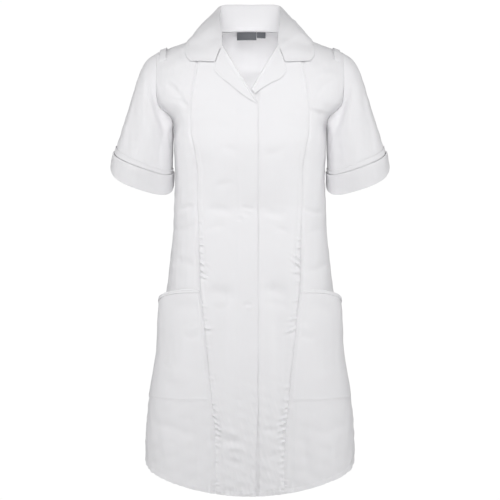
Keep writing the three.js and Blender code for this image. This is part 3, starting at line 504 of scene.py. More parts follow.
# Creases of the fronts and the back in front view: two ends, bow, half the width, height.
FRONT_CREASES = Table("x0 z0 x1 z1 bow half tall", [
    (-88, -368, -38, -374, 2, 8, -1.0), (-80, -380, -44, -384, -2, 6, 0.3),
    (27, -370, 72, -379, -3, 8, -1.1), (30, -384, 66, -391, -2, 6, 0.4), (-16, -365, 8, -369, 1, 3, -0.9),
    (-14, -375, 4, -381, -1, 3, -0.7), (-26, -386, -14, -390, 0, 3.5, -0.8),
    (50, -408, 76, -414, 2, 5, -0.8), (-90, -410, -50, -404, 3, 7, -0.7),
    (-84, -532, -32, -545, 4, 13, -1.6), (-74, -562, -40, -554, -4, 9, -0.7),
    (24, -528, 78, -542, 5, 13, -1.6), (28, -552, 76, -564, 4, 10, -0.8),
    (-12, -555, 6, -560, 1, 3.5, -0.8), (-6, -563, 8, -560, 0, 3, 0.5), (-62, -800, -20, -812, 3, 6, 0.9),
    (-58, -818, -16, -826, -3, 6, -1.0), (-50, -838, -12, -840, 3, 7, 0.9),
    (-56, -860, -20, -868, 2, 6, -0.9), (20, -806, 52, -800, 2, 6, -0.8), (16, -846, 50, -852, -3, 7, -0.8),
    (-60, -250, -20, -262, 4, 9, -0.6), (28, -262, 70, -246, -5, 9, -0.6),
    (-70, -325, -30, -318, 3, 8, -0.6),
])
SIDE_CREASES = Table("x0 z0 x1 z1 bow half tall", [
    (-172, -112, -126, -176, 7, 7, -1.6), (-176, -96, -132, -132, 4, 7, 0.8),
    (-160, -148, -122, -166, 3, 4, -0.9), (-150, -86, -124, -112, 3, 9, -0.8),
    (121, -164, 160, -170, -2, 3.5, 1.0), (120, -172, 156, -180, -2, 5, -0.9),
    (172, -106, 130, -150, -6, 8, -1.4), (168, -88, 126, -104, 4, 8, 0.7),
    (-150, -410, -112, -398, -3, 7, -0.7), (112, -420, 150, -408, 3, 7, -0.7),
    (-158, -470, -108, -482, 4, 9, -0.8), (110, -492, 160, -474, -4, 9, -0.8),
    (-150, -372, -110, -362, 3, 5, -0.9), (108, -366, 148, -374, -3, 5, -0.9),
    (-196, -800, -120, -812, 4, 12, -1.0), (118, -806, 192, -796, -4, 12, -1.0),
    (-120, -780, -104, -900, 5, 10, -1.2), (106, -788, 122, -900, -5, 10, -1.2),
    (-170, -800, -156, -905, -4, 12, 0.8), (158, -806, 168, -905, 5, 12, 0.8),
])
BACK_CREASES = Table("x0 z0 x1 z1 bow half tall", [
    (-120, -366, -28, -352, 6, 6, -1.5), (-100, -384, -20, -376, -4, 7, 1.0),
    (24, -358, 110, -370, 5, 6, -1.4), (16, -402, 96, -392, -5, 7, -1.0),
    (-112, -404, -36, -410, 4, 8, -0.9), (-150, -110, -104, -190, 9, 9, -1.5),
    (-160, -150, -96, -214, 6, 8, 0.9), (152, -106, 108, -184, -9, 9, -1.5),
    (158, -156, 100, -210, -6, 8, 0.9), (-60, -60, 60, -64, -6, 12, -0.8),
    (-84, -520, -60, -640, 8, 12, -1.0), (86, -530, 66, -660, -8, 12, -1.0),
    (-20, -560, -8, -700, 5, 14, -0.8), (130, -560, 146, -700, -6, 14, -0.9),
    (-136, -570, -150, -720, 6, 14, -0.9), (-60, -806, 10, -816, 4, 9, -0.7),
    (30, -846, 110, -838, -4, 9, -0.7), (-120, -850, -40, -858, 4, 9, 0.7),
])
# Puckers of the princess seams, on the centre front: level, lean, reach, half the width, height.
RIGHT_PUCKERS = Table("at lean reach half tall", [
    (-392, 0.2, 10, 3.5, 0.5), (-424, 0.1, 12, 3.5, 0.7), (-437, 0.2, 14, 3.5, 0.9),
    (-452, 0.3, 13, 3.5, 0.8), (-472, 0.5, 20, 4.2, 1.2), (-487, 0.5, 20, 4.0, 1.3),
    (-500, 0.25, 20, 3.8, 1.1), (-560, 0.1, 12, 4, 0.7), (-583, 0.2, 13, 4, 0.7), (-602, 0.1, 18, 5, 1.4),
    (-640, 0.2, 10, 4, 0.5), (-700, 0.1, 12, 4, 0.5), (-758, 0.5, 13, 3.5, 0.9), (-772, 0.6, 16, 3.6, 1.0),
    (-783, 0.6, 20, 3.6, 1.3), (-794, 0.5, 18, 3.4, 1.1), (-805, 0.5, 16, 3.4, 1.0),
    (-817, 0.4, 14, 3.5, 0.9), (-831, 0.3, 12, 3.6, 0.8), (-862, 0.2, 12, 4, 0.7),
])
LEFT_PUCKERS = Table("at lean reach half tall", [
    (-400, 0.1, 10, 3.5, 0.5), (-430, -0.2, 12, 3.6, 0.8), (-446, -0.1, 13, 3.5, 0.8),
    (-469, -0.6, 20, 4, 1.2), (-482, -0.6, 22, 4, 1.3), (-496, -0.2, 20, 3.8, 1.1), (-512, 0, 14, 3.6, 0.7),
    (-548, 0.1, 13, 4, 0.7), (-585, 0.1, 20, 4.2, 1.2), (-603, 0.4, 20, 5, 1.5), (-652, 0.1, 10, 4, 0.5),
    (-716, 0.2, 11, 4, 0.5), (-757, 0.3, 14, 3.6, 0.9), (-775, 0.3, 18, 3.6, 1.2),
    (-787, 0.3, 20, 3.6, 1.3), (-799, 0.4, 18, 3.5, 1.1), (-811, 0.4, 16, 3.4, 1.0),
    (-824, 0.3, 14, 3.5, 0.9), (-850, 0.2, 12, 4, 0.7), (-872, 0.2, 12, 4, 0.7),
])
# How strongly a long seam ripples, and how deep and wide the side front sinks beside it.
SEAM_RIPPLE = Table("z strength", [
    (0, 0.05), (-150, 0.05), (-350, 0.1), (-420, 0.22), (-510, 0.3), (-600, 0.3), (-700, 0.2), (-750, 0.8),
    (-830, 0.8), (-920, 0.6),
])
SEAM_HOLLOW = Table("z deep half", [
    (0, 3.0, 4), (-110, 3.2, 4), (-200, 2.4, 4), (-270, 3.2, 6), (-310, 3.4, 7), (-360, 2.2, 5),
    (-420, 3.2, 5), (-490, 5.0, 7), (-520, 4.0, 6), (-540, 1.0, 3), (-920, 1.2, 3),
])
# Creases of the sleeves, where x is the turn in degrees and z how far down, in millimetres.
SLEEVE_CREASES = Table("x0 z0 x1 z1 bow half tall", [
    (70, 12, 88, 70, 5, 7, -1.0), (100, 30, 112, 95, -4, 8, 0.8), (40, 40, 52, 112, 5, 8, -0.8),
    (122, 62, 132, 116, 4, 7, -1.0), (20, 20, 30, 84, -4, 9, 0.6), (84, 96, 108, 106, 2, 5, 0.6),
    (150, 20, 160, 70, 5, 8, -1.2), (232, 20, 226, 80, -6, 9, -1.2), (262, 36, 268, 108, 5, 9, -0.9),
    (300, 24, 310, 100, -5, 10, 0.8), (330, 40, 336, 110, 4, 9, -0.7), (205, 30, 200, 90, 4, 9, -1.0),
])


def row_levels():
    """The rows of a body panel: closer over the shoulder and along the hem."""
    parts = [(0, -12, 9), (-12, -60, 20), (-60, -205, 46), (-205, -890, 212), (-890, HEM_Z, 24)]
    return np.concatenate([np.linspace(*part)[i > 0:] for i, part in enumerate(parts)])


def vent_opening(level):
    """How far each edge of the open vent lies away from the side seam."""
    return VENT_OPEN * ease(level, VENT_TOP_Z, HEM_Z)


def hem_relief(cloth, seed):
    """The hem: turned twice, stitched, and a little puckered."""
    up = cloth.fall_back
    ripple = 1.5 * uneven(cloth.run, 16, seed) * bell(up, 18)
    return turning(up, HEM_TURN, 0.7) + groove(up, HEM_TURN, 0.6) + ripple


def front_edge_x(level, reach):
    """The front's inner edge: straight to the break point, then the roll line, then round the neck."""
    slope = (GORGE_X + BREAK_X) / (GORGE_Z - BREAK_Z)
    roll = np.maximum(-reach, GORGE_X + (level - GORGE_Z) * slope)
    neck = mix(NECK_HALF, GORGE_X, np.clip(level / GORGE_Z, 0, 1) ** NECK_FRONT_CURVE)
    return np.where(level > GORGE_Z, neck, roll)


def centre_front(side):
    """A centre front: the right one with its fly, the left one dipping under it."""
    over = side == RIGHT
    reach = BREAK_X if over else UNDER_REACH

    def place(across, level):
        swing = FRONT_SWING * ease(level, -760, -850) if over else 0
        x = mix(front_edge_x(level, reach) + swing, PRINCESS_SEAM("x", level), across)
        covered = 0 if over else 1 - ease(x, BREAK_X, BREAK_X + UNDER_DIP_WIDTH)
        return off_body(angle_at_x(side * x, level), level, -UNDER_DIP * covered * np.ones_like(x))

    cloth = Cloth(spread(112, 3.3, 0.9, 12), row_levels(), place, -side)
    seam, edge, z = cloth.run_back, cloth.run, cloth.z
    ripple = 0.8 * SEAM_RIPPLE("strength", z) * uneven(z, 12, 1.3 * side)
    height = creases(FRONT_CREASES, cloth.x, z) * sizes().crease
    height += puckers(RIGHT_PUCKERS if over else LEFT_PUCKERS, seam, z) * sizes().pucker
    height += ripple * bell(seam, 9) * sizes().pucker
    height += drawn_in(seam, 1.2) + hem_relief(cloth, side)
    height += turning(seam, SEAM_TURN, 0.8) * ease(z, -150, -330)
    crumpled = 1.4 * rumple(1.2 * cloth.x + 0.4 * z, z, 38, side)
    height += mix(0.4 * rumple(cloth.x, z, 64, side), crumpled, ease(z, -640, -840)) * ease(seam, 0, 8)
    if over:
        fly = turning(edge, FLY_IN, 0.5) + groove(edge, FLY_IN, 0.5) + rounding(edge, 0.5, 0.6)
        height += fly * ease(z, BREAK_Z, BREAK_Z - 12)
        facing_end = 1 - ease(cloth.fall_back, FACING_END - 1, FACING_END + 1)
        height += 0.8 * facing_end * (1 - ease(edge, FLY_IN - 3, FLY_IN))
        height += np.exp(-edge / 5) * ease(z, -780, -860)
    else:
        height += 0.7 * bell(cloth.x - BREAK_X - 7, 3) * ease(z, BREAK_Z, BREAK_Z - 30)
    cloth.lift(height)
    return cloth


def edge_zones(z):
    """How far a level is beside the armhole, and how far beside the open vent, from 0 to 1 each."""
    return ease(z, UNDERARM_Z - 6, UNDERARM_Z + 10), ease(z, VENT_TOP_Z + 10, VENT_TOP_Z - 10)


def outer_edge(edge, armhole, vent):
    """The turned and stitched outer edge of a body panel, along the armhole and the vent."""
    return (armhole * (turning(edge, 7, 0.6) + groove(edge, ARMHOLE_STITCH))
            + vent * (turning(edge, 9, 0.4) + groove(edge, VENT_STITCH)))


def side_front_edge(level):
    """The ring angle of the side front's outer edge: the armhole, and below it the side seam."""
    seam = angle_at_y(SIDE_SEAM("y", level) - vent_opening(level), level)
    return np.where(level > UNDERARM_Z, np.minimum(seam, angle_at_x(ARMHOLE("x", level), level)), seam)


def side_front_angle(level, across):
    """The ring angle from the princess seam (0) to the outer edge (1)."""
    return mix(angle_at_x(PRINCESS_SEAM("x", level), level), side_front_edge(level), across)


def side_front(side):
    """A side front, which sinks beside the long seam and is stitched along its outer edge."""
    cloth = Cloth(spread(140, 3.4, 0.9, 10), row_levels(),
                  lambda u, v: off_body(side * side_front_angle(v, u), v, 0 * u), -side)
    seam, edge, z = cloth.run, cloth.run_back, cloth.z
    armhole, vent = edge_zones(z)
    height = creases(SIDE_CREASES, cloth.x, z) * sizes().crease * mix(0.6, 1, ease(z, -180, -260))
    height += drawn_in(edge, 0.9) * (1 - vent) * (1 - 0.6 * armhole) + hem_relief(cloth, 2 * side)
    height += outer_edge(edge, armhole, vent) - SEAM_HOLLOW("deep", z) * bell(seam, SEAM_HOLLOW("half", z))
    height += mix(0.6, 1.3, ease(z, -700, -850)) * rumple(cloth.run, z, 48, 2 + side) * ease(seam, 0, 8)
    ripple = 0.5 * SEAM_RIPPLE("strength", z) * uneven(z, 9, 2 + side)
    height += ripple * bell(seam, 7) * sizes().pucker
    cloth.lift(height)
    return cloth


def back_half(level):
    """Half the back's ring, in radians from the middle of the back."""
    seam = math.pi - angle_at_y(SIDE_SEAM("y", level) + vent_opening(level), level)
    return np.where(level > UNDERARM_Z, np.minimum(seam, angle_at_x(ARMHOLE("x", level), level)), seam)


def back_panel():
    """The back in one piece, with a dart on either side of the waist."""
    half = spread(235, 3.7, 1.0, 10, start=False)
    columns = np.concatenate([-half[::-1], half[1:]])
    cloth = Cloth(columns, row_levels(), lambda u, v: off_body(math.pi + u * back_half(v), v, 0 * u), -1)
    edge, z = np.minimum(cloth.run, cloth.run_back), cloth.z
    armhole, vent = edge_zones(z)
    dart = ease(z, -470, -440) * (1 - ease(z, -265, -235))
    height = creases(BACK_CREASES, cloth.x, z) * sizes().crease
    height += dart * drawn_in(np.abs(np.abs(cloth.x) - DART_X), 1.3, 2.2)
    height += mix(0.6, 1.2, ease(z, -700, -850)) * rumple(cloth.run, z, 56, 5)
    height += drawn_in(edge, 0.9) * (1 - vent) + hem_relief(cloth, 3) + outer_edge(edge, armhole, vent)
    cloth.lift(height)
    return cloth


# ------------------------------------------------------------------ sleeves
def sleeve_point(turn, part):
    """A point of the left sleeve's rings. turn is 0 at the outermost line and a quarter at the front."""
    half_x = (SLEEVE_RINGS("outer_x", part) - SLEEVE_RINGS("inner_x", part)) / 2
    half_z = (SLEEVE_RINGS("outer_z", part) - SLEEVE_RINGS("inner_z", part)) / 2
    swing, sine = 1 + np.cos(turn), np.sin(turn)
    drop = mix(-SLEEVE_RINGS("back_drop", part), SLEEVE_RINGS("front_drop", part),
               ease(sine, -DROP_TURN, DROP_TURN))
    return stack(SLEEVE_RINGS("inner_x", part) + half_x * swing,
                 SLEEVE_RINGS("behind", part) - SLEEVE_RINGS("half_depth", part) * sine,
                 SLEEVE_RINGS("inner_z", part) + half_z * swing
                 - drop * (DROP_ROUND * sine + (1 - DROP_ROUND) * sine**3))


def armhole_point(turn):
    """A point of the armhole, just off the body, that the sleeve's turn meets."""
    level = UNDERARM_Z * (1 - (1 + np.cos(turn)) / 2)
    angle = np.where(np.sin(turn) >= 0, side_front_edge(level), math.pi - back_half(level))
    return body_point(angle, level) + np.array([SLEEVE_GAP, 0, 0])


def sleeve_shape(turn, part):
    """The sleeve eased into its armhole, with its soft folds."""
    seated = 1 - ease(part, 0, CAP_PART)
    to_armhole = armhole_point(turn) - sleeve_point(turn, 0 * part)
    point = sleeve_point(turn, part) + to_armhole * seated[..., None]
    middle = (sleeve_point(0 * turn, part) + sleeve_point(0 * turn + math.pi, part)) / 2
    outward = unit(point - middle)
    height = 0
    for at, down, half_turn, half_part, tall in SLEEVE_FOLDS.rows():
        away = (np.degrees(turn) - at) / half_turn
        height = height + tall * np.exp(-away * away - ((part - down) / half_part) ** 2)
    return point + outward * (height * ease(part, 0, 0.1))[..., None]


def sleeve_surface(turn, part, height):
    """A point moved out of the sleeve's surface."""
    point = sleeve_shape(turn, part)
    around = sleeve_shape(turn + STEP, part) - sleeve_shape(turn - STEP, part)
    down = sleeve_shape(turn, np.minimum(1, part + STEP)) - sleeve_shape(turn, part - STEP)
    return point + unit(np.cross(around, down)) * np.asarray(height)[..., None]


def sleeve_tube(side, parts, height_at):
    """A tube round the sleeve, at a height over it for each part."""
    def place(turn, part):
        return sleeve_surface(turn % (2 * math.pi), part, height_at(part)) * np.array([side, 1, 1])

    return Cloth(np.linspace(0, 2 * math.pi, SLEEVE_COLUMNS + 1), parts, place, side, tube=True)


def sleeve(side):
    """A set-in sleeve, raised along its head and drawn in under the arm."""
    parts = np.concatenate([np.linspace(0, 0.06, 12), np.linspace(0.06, CUFF_PART, 64)[1:],
                            [0.88, 0.93, 0.97, 0.994]])
    cloth = sleeve_tube(side, parts, lambda part: 0 * part)
    head = ease(cloth.v, 0.02, 0.12)
    under = ease(cloth.z, -112, -140)
    height = creases(SLEEVE_CREASES, np.degrees(cloth.u), cloth.v * SLEEVE_LONG)
    height *= 0.45 * sizes().crease * head
    height += 0.6 * rumple(cloth.x, cloth.z, 44, side) * ease(cloth.v, 0.05, 0.2)
    height += drawn_in(cloth.fall, mix(0.35, 1.0, under), 2)
    height += mix(0.9, 0.3, under) * bell(cloth.fall - 7, 3) * head
    cloth.lift(height)
    return cloth


def cuff_stand(part):
    """How far the turned-back cuff stands off the sleeve."""
    return mix(CUFF_TOP_STAND, CUFF_HEM_STAND, ease(part, CUFF_PART, 1))


def cuff(side):
    """A turned-back cuff, rounded at both edges."""
    cloth = sleeve_tube(side, spread(46, 2.6, 0.8, 4) * (1 - CUFF_PART) + CUFF_PART, cuff_stand)
    height = 0.45 * uneven(cloth.run, 58, side) * ease(cloth.fall_back, 0, 20)
    height += 0.4 * rumple(cloth.run, cloth.fall, 40, side)
    cloth.lift(height + rounding(cloth.fall, 0.5, 0.8) + rounding(cloth.fall_back, 0.5, 0.8))
    return cloth


def cuff_trim(side):
    """The narrow piped band above the cuff."""
    parts = np.linspace(TRIM_PART, CUFF_PART - 0.002, 12)
    cloth = sleeve_tube(side, parts, lambda part: TRIM_STAND + 0 * part)
    height = 0.5 * bell(cloth.fall - TRIM_RIDGE, 1) + rounding(cloth.fall, 0.4, 0.5)
    cloth.lift(height + 0.2 * uneven(cloth.run, 19, side))
    return cloth


# ------------------------------------------------------------------ collar and lapels
def neck_seam(part):
    """The neck seam, from the middle of the back (0) over the shoulder (0.5) to the gorge (1)."""
    x = NECK_HALF * np.sin(math.pi * np.minimum(part, 0.5))
    line_y, line_z, _ = ridge(x, True)
    behind = stack(x, line_y, line_z + NECK_SEAM_RISE)
    forward = np.maximum(part - 0.5, 0) * 2 * math.sqrt(1 - (1 + GORGE_Z / FRONT_ROUND) ** 2)
    level = -FRONT_ROUND * (1 - np.sqrt(1 - forward**2))
    front = off_body(angle_at_x(front_edge_x(level, 0), level), level, NECK_SEAM_RISE + 0 * level)
    return np.where((part <= 0.5)[..., None], behind, front)


def collar_point(across, place):
    """across runs from the neck seam (-1) over the fold (0) to the outer edge (1)."""
    part = np.abs(place)
    rail = {name: COLLAR_RAILS(name, part) for name in COLLAR_RAILS.columns if name != "part"}
    seam = neck_seam(part)
    fold = stack(rail["fold_x"], rail["fold_y"], rail["fold_z"])
    edge = rest_on_shoulder(rail["edge_x"], rail["edge_y"], COLLAR_EDGE_RISE)
    outward = unit((edge - seam) * np.array([1, 1, 0]))
    half = COLLAR_FOLD_HALF * ease(part, 1, 0.85)
    up = np.clip(1 + across, 0, 1)
    turned = 1 - np.sqrt(np.maximum(0, 1 - up**6))
    stand = mix(seam, fold - outward * half[..., None], up[..., None]) + outward * (turned * half)[..., None]
    out = np.clip(across, 0, 1)
    fall = mix(fold + outward * COLLAR_FOLD_HALF * 0.3, edge, out[..., None])
    belly = np.sin(math.pi * out**0.6) * COLLAR_BULGE * (1 - 0.45 * ease(part, 0.6, 1))
    fall = fall + outward * belly[..., None] + stack(0 * belly, 0 * belly, 0.35 * belly)
    notch = rest_on_shoulder(np.float64(NOTCH_X), np.float64(NOTCH_Y), COLLAR_EDGE_RISE)
    to_notch = mix(fold, notch, (out / NOTCH_ACROSS)[..., None])
    to_point = mix(notch, edge, ((out - NOTCH_ACROSS) / (1 - NOTCH_ACROSS))[..., None])
    end = np.where((out < NOTCH_ACROSS)[..., None], to_notch, to_point)
    fall = mix(fall, end, ease(part, NOTCH_FROM, 1)[..., None])
    angle, level = under_plan(fall[..., 0], fall[..., 1])
    normal = body_normal(angle, level)
    rise = ((fall - body_point(angle, level)) * normal).sum(axis=-1)
    lift = np.maximum(0, mix(COLLAR_CLEAR + 1.1, COLLAR_CLEAR, out) - rise)
    fall = fall + normal * lift[..., None]
    point = np.where((across <= 0)[..., None], stand, fall)
    return point * stack(np.where(place < 0, -1, 1), 1, 1)


def collar():
    """The collar: its stand, its fold, and its fall down to the stitched edge."""
    columns = np.concatenate([np.linspace(-1, -0.2, 12), np.linspace(-0.2, 0.12, 14)[1:],
                              0.12 + 0.88 * spread(52, 2.4, 0.9, 8, start=False)[1:]])
    rows = np.concatenate([np.linspace(-1, -0.9, 16), np.linspace(-0.9, 0.9, 130)[1:],
                           np.linspace(0.9, 1, 16)[1:]])
    cloth = Cloth(columns, rows, collar_point, -1)
    on_fall = ease(cloth.u, 0.05, 0.2)
    edge = cloth.run_back
    ends = np.minimum(cloth.fall, cloth.fall_back) + 40 * (1 - ease(cloth.u, 0.3, NOTCH_ACROSS))
    near = np.minimum(edge, ends)
    height = turning(near, EDGE_TURN, 0.7) + groove(near, EDGE_STITCH, 0.6) + rounding(near, 0.6, 0.7)
    height *= on_fall
    height += on_fall * 0.7 * uneven(cloth.fall, 70, 1.7) * ease(edge, 0, 12)
    seam = cloth.run
    at_seam = turning(seam, SEAM_TURN, 0.5) + groove(seam, STAND_STITCH) + rounding(seam, 0.8, 1.2)
    height += (1 - on_fall) * at_seam
    cloth.lift(height)
    return cloth


def lapel(side):
    """A lapel, from inside its roll line over to its stitched edge."""
    over = side == RIGHT
    edges = OVER_LAPEL if over else UNDER_LAPEL
    end_x, end_z = OVER_LAPEL_END if over else UNDER_LAPEL_END
    rolled = (LAPEL_LIE + LAPEL_ROLL) / 2
    along = unit(np.array([end_x - GORGE_X, end_z - GORGE_Z], float))
    inward_x, inward_z = along[1], -along[0]

    def place(across, part):
        roll_x, roll_z = mix(GORGE_X, end_x, part), mix(GORGE_Z, end_z, part)
        out = np.clip(across, 0, 1)
        turn = np.clip(-across, 0, 1) * math.pi
        inward = rolled * (np.sin(turn) - ease(out, LAPEL_ROLL_WIDTH, 0))
        roll = LAPEL_ROLL * np.maximum(0, 1 - out / LAPEL_ROLL_WIDTH) ** 2
        x = mix(roll_x, edges("x", part), out) + inward * inward_x
        z = mix(roll_z, edges("z", part), out) + inward * inward_z
        height = np.where(across < 0, rolled * (1 + np.cos(turn)), LAPEL_LIE + roll)
        return front_point(side * x, z, height)

    columns = np.concatenate([np.linspace(-0.9, 0, 10), spread(60, 2.2, 0.9, 8)[1:]])
    rows = spread(140, 2.2, 0.9, 6)
    cloth = Cloth(columns, rows, place, -side)
    edge = cloth.run_back
    near = np.minimum(edge, cloth.fall)
    height = turning(near, EDGE_TURN, 0.35) + groove(edge, EDGE_STITCH) + rounding(edge, 0.5, 0.7)
    height += 0.4 * uneven(cloth.fall, 46, side) * ease(edge, 0, 10) * ease(cloth.run, 4, 12)
    height += 1.9 * np.exp(-cloth.fall / 9) * ease(edge, 0, 12)
    cloth.lift(height * ease(cloth.u, 0, 0.15))
    return cloth


# ------------------------------------------------------------------ pockets, loops and tapes
def pocket_place(side, u, v, layer):
    """A point of the pocket, which gapes at its mouth. layer is a height over the cloth."""
    mouth = mix(MOUTH_SEAM_Z, MOUTH_SIDE_Z, u**MOUTH_CURVE)
    bottom = mix(BOTTOM_SEAM_Z, BOTTOM_SIDE_Z, u)
    depth = v * (MOUTH_SEAM_Z - BOTTOM_SEAM_Z)
    gape = POCKET_GAPE * np.sin(math.pi * u**POCKET_SKEW) * (1 - ease(depth, 0, POCKET_GAPE_REACH))
    level = mix(mouth, bottom, v)
    return off_body(side * side_front_angle(level, u), level, POCKET_STAND + gape + layer)


POCKET_CREASES = Table("x0 z0 x1 z1 bow half tall", [
    (98, -600, 128, -612, 3, 7, 0.7), (100, -618, 126, -624, -2, 6, -0.6),
    (110, -560, 180, -590, 8, 14, -0.9), (120, -700, 176, -690, -5, 13, 0.8),
    (150, -600, 164, -730, 8, 16, -0.9),
])


def pocket_columns():
    """The columns of a pocket and its band, closer at both ends."""
    return mix(POCKET_FROM, POCKET_TO, spread(140, 3.2, 0.9, 9))


def pocket(side):
    """A patch pocket, pressed close along its seams."""
    cloth = Cloth(pocket_columns(), spread(219, 3.2, 0.9, 9), lambda u, v: pocket_place(side, u, v, 0), -side)
    edge = np.minimum(np.minimum(cloth.run, cloth.run_back), cloth.fall_back)
    height = creases(POCKET_CREASES, cloth.x * side, cloth.z) * sizes().crease
    height += turning(edge, 7, 0.3) + groove(edge, POCKET_STITCH, 0.4) - 0.6 * bell(edge, 3.5)
    height += 0.5 * rumple(cloth.run, cloth.z, 70, side) - 0.9 * (1 - ease(cloth.fall_back, 0, 40))
    height += 0.3 * uneven(cloth.fall, 15, side) * bell(cloth.run, 9)
    cloth.lift(height)
    return cloth


def pocket_trim(side):
    """The narrow band along the pocket's mouth, with its two ridges."""
    deep = POCKET_TRIM / (MOUTH_SEAM_Z - BOTTOM_SEAM_Z)
    cloth = Cloth(pocket_columns(), np.linspace(0.002, deep, 10),
                  lambda u, v: pocket_place(side, u, v, POCKET_TRIM_STAND), -side)
    ends = np.minimum(cloth.run, cloth.run_back)
    height = 0.5 * bell(cloth.fall - TRIM_RIDGE, 1) + rounding(cloth.fall, 0.5, 0.5)
    height += 0.5 * bell(cloth.fall_back - 1, 1) + rounding(cloth.fall_back, 0.5, 0.5)
    cloth.lift(height - 0.9 * bell(ends, 3.5))
    return cloth


def shoulder_loop(side):
    """A loop over the shoulder seam, arched a little, with both ends sewn down."""
    def place(u, v):
        level = LOOP_END * np.abs(v) ** 1.6
        angle = angle_at_x(mix(LOOP_X - LOOP_HALF, LOOP_X + LOOP_HALF, u), level)
        arch = LOOP_RISE * np.cos(math.pi * v / 2)
        return off_body(side * np.where(v > 0, math.pi - angle, angle), level, LOOP_CLEAR + LOOP_THICK + arch)

    cloth = Cloth(spread(14, 1.2), np.linspace(-1, 1, 41), place, side)
    edge = np.minimum(cloth.run, cloth.run_back)
    ends = np.minimum(cloth.fall, cloth.fall_back)
    cloth.lift(0.35 * bell(edge - LOOP_STITCH, 1) + rounding(edge, 0.4, 0.5) + rounding(ends, 1.0, 2))
    return cloth


def neck_tape(name):
    """A bare tape that hangs from the back neck seam."""
    left, right, high = NECK_TAPES[name]

    def place(u, v):
        x = mix(left, right, u)
        line_y, line_z, _ = ridge(x, True)
        return stack(x, line_y - TAPE_INSET + TAPE_THICK, line_z - 1 - v * high)

    return Cloth(spread(right - left, 1.4), spread(high, 1.2), place, 1)


# ------------------------------------------------------------------ sewing thread
THREAD_FLATTENING, THREAD_RISE = 1.3, 0.12      # a stitch is flatter than wide, and lies on the cloth


def sew_lines(name, lines):
    """Rows of small stitches along lines over a piece: each line is its points and its normals."""
    sewing = bpy.context.scene.tunic_sewing
    wide, long = sewing.thread_width, sewing.stitch_length
    half = np.array([wide, wide / THREAD_FLATTENING, long]) / 2
    pitch = (sewing.stitch_length + sewing.stitch_gap) / MM
    bm = bmesh.new()
    for points, normals in lines:
        steps = np.linalg.norm(np.diff(points, axis=0), axis=1)
        at = np.concatenate([[0], np.cumsum(steps)])
        count = max(1, int(at[-1] // pitch))
        centres = (np.arange(count) + 0.5) * at[-1] / count

        def along(values, where):
            return np.stack([np.interp(where, at, values[:, axis]) for axis in range(3)], axis=1)

        reach = sewing.stitch_length / MM / 2
        ways = unit(along(points, centres + reach) - along(points, centres - reach))
        for centre, way, up in zip(along(points, centres), ways, along(normals, centres)):
            up = unit(up - way * np.dot(up, way))
            across = np.cross(up, way)
            axes = np.stack([across * half[0], up * half[1], way * half[2]], axis=1)
            place = Matrix([[*row] for row in axes]).to_4x4()
            place.translation = Vector((centre + up * THREAD_RISE) * MM)
            bmesh.ops.create_uvsphere(bm, u_segments=6, v_segments=4, radius=1, matrix=place)
    for face in bm.faces:
        face.smooth = True
    mesh = bpy.data.meshes.new(name)
    bm.to_mesh(mesh)
    bm.free()
    mesh.materials.append(bpy.data.materials["sewing thread"])
    piece = bpy.data.objects.new(name, mesh)
    bpy.context.collection.objects.link(piece)
    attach(piece, "root")


# ------------------------------------------------------------------ finishes
def sizes():
    """The cloth's sizes and finish, as the panel has them."""
    return bpy.context.scene.tunic_cloth


def weave_group():
    """Twill: fine diagonal ribs over uneven yarns, by the flat cut of the piece."""
    group = bpy.data.node_groups.new("twill weave", "ShaderNodeTree")
    group.interface.new_socket("Cut", in_out="INPUT", socket_type="NodeSocketVector")
    group.interface.new_socket("Ribs per metre", in_out="INPUT", socket_type="NodeSocketFloat")
    group.interface.new_socket("Height", in_out="OUTPUT", socket_type="NodeSocketFloat")
    group.interface.new_socket("Shade", in_out="OUTPUT", socket_type="NodeSocketFloat")
    nodes, links = group.nodes, group.links
    inside, outside = nodes.new("NodeGroupInput"), nodes.new("NodeGroupOutput")

    def math_node(operation, a, b=None):
        node = nodes.new("ShaderNodeMath")
        node.operation = operation
        for socket, value in zip(node.inputs, (a, b)):
            if isinstance(value, (int, float)):
                socket.default_value = value
            elif value is not None:
                links.new(value, socket)
        return node.outputs[0]

    split = nodes.new("ShaderNodeSeparateXYZ")
    links.new(inside.outputs["Cut"], split.inputs[0])
    x, y = split.outputs["X"], split.outputs["Y"]
    per = inside.outputs["Ribs per metre"]
    diagonal = math_node("ADD", math_node("MULTIPLY", x, per), math_node("MULTIPLY", y, per))
    rib = math_node("SINE", math_node("MULTIPLY", diagonal, 2 * math.pi))
    yarn = math_node("SINE", math_node("MULTIPLY", math_node("MULTIPLY", x, per), 4 * math.pi))
    stretch = nodes.new("ShaderNodeVectorMath")
    stretch.operation = "MULTIPLY"
    links.new(inside.outputs["Cut"], stretch.inputs[0])
    stretch.inputs[1].default_value = (900, 60, 1)
    slub = nodes.new("ShaderNodeTexNoise")
    slub.inputs["Scale"].default_value = 1
    slub.inputs["Detail"].default_value = 2
    links.new(stretch.outputs[0], slub.inputs["Vector"])
    rough = math_node("MULTIPLY", math_node("SUBTRACT", slub.outputs["Fac"], 0.5), 1.6)
    height = math_node("ADD", math_node("MULTIPLY", rib, 0.3), math_node("MULTIPLY", yarn, 0.12))
    links.new(math_node("ADD", height, rough), outside.inputs["Height"])
    shade = math_node("ADD", math_node("MULTIPLY", rough, 0.5), math_node("MULTIPLY", rib, 0.15))
    links.new(math_node("ADD", shade, 0.5), outside.inputs["Shade"])
    return group


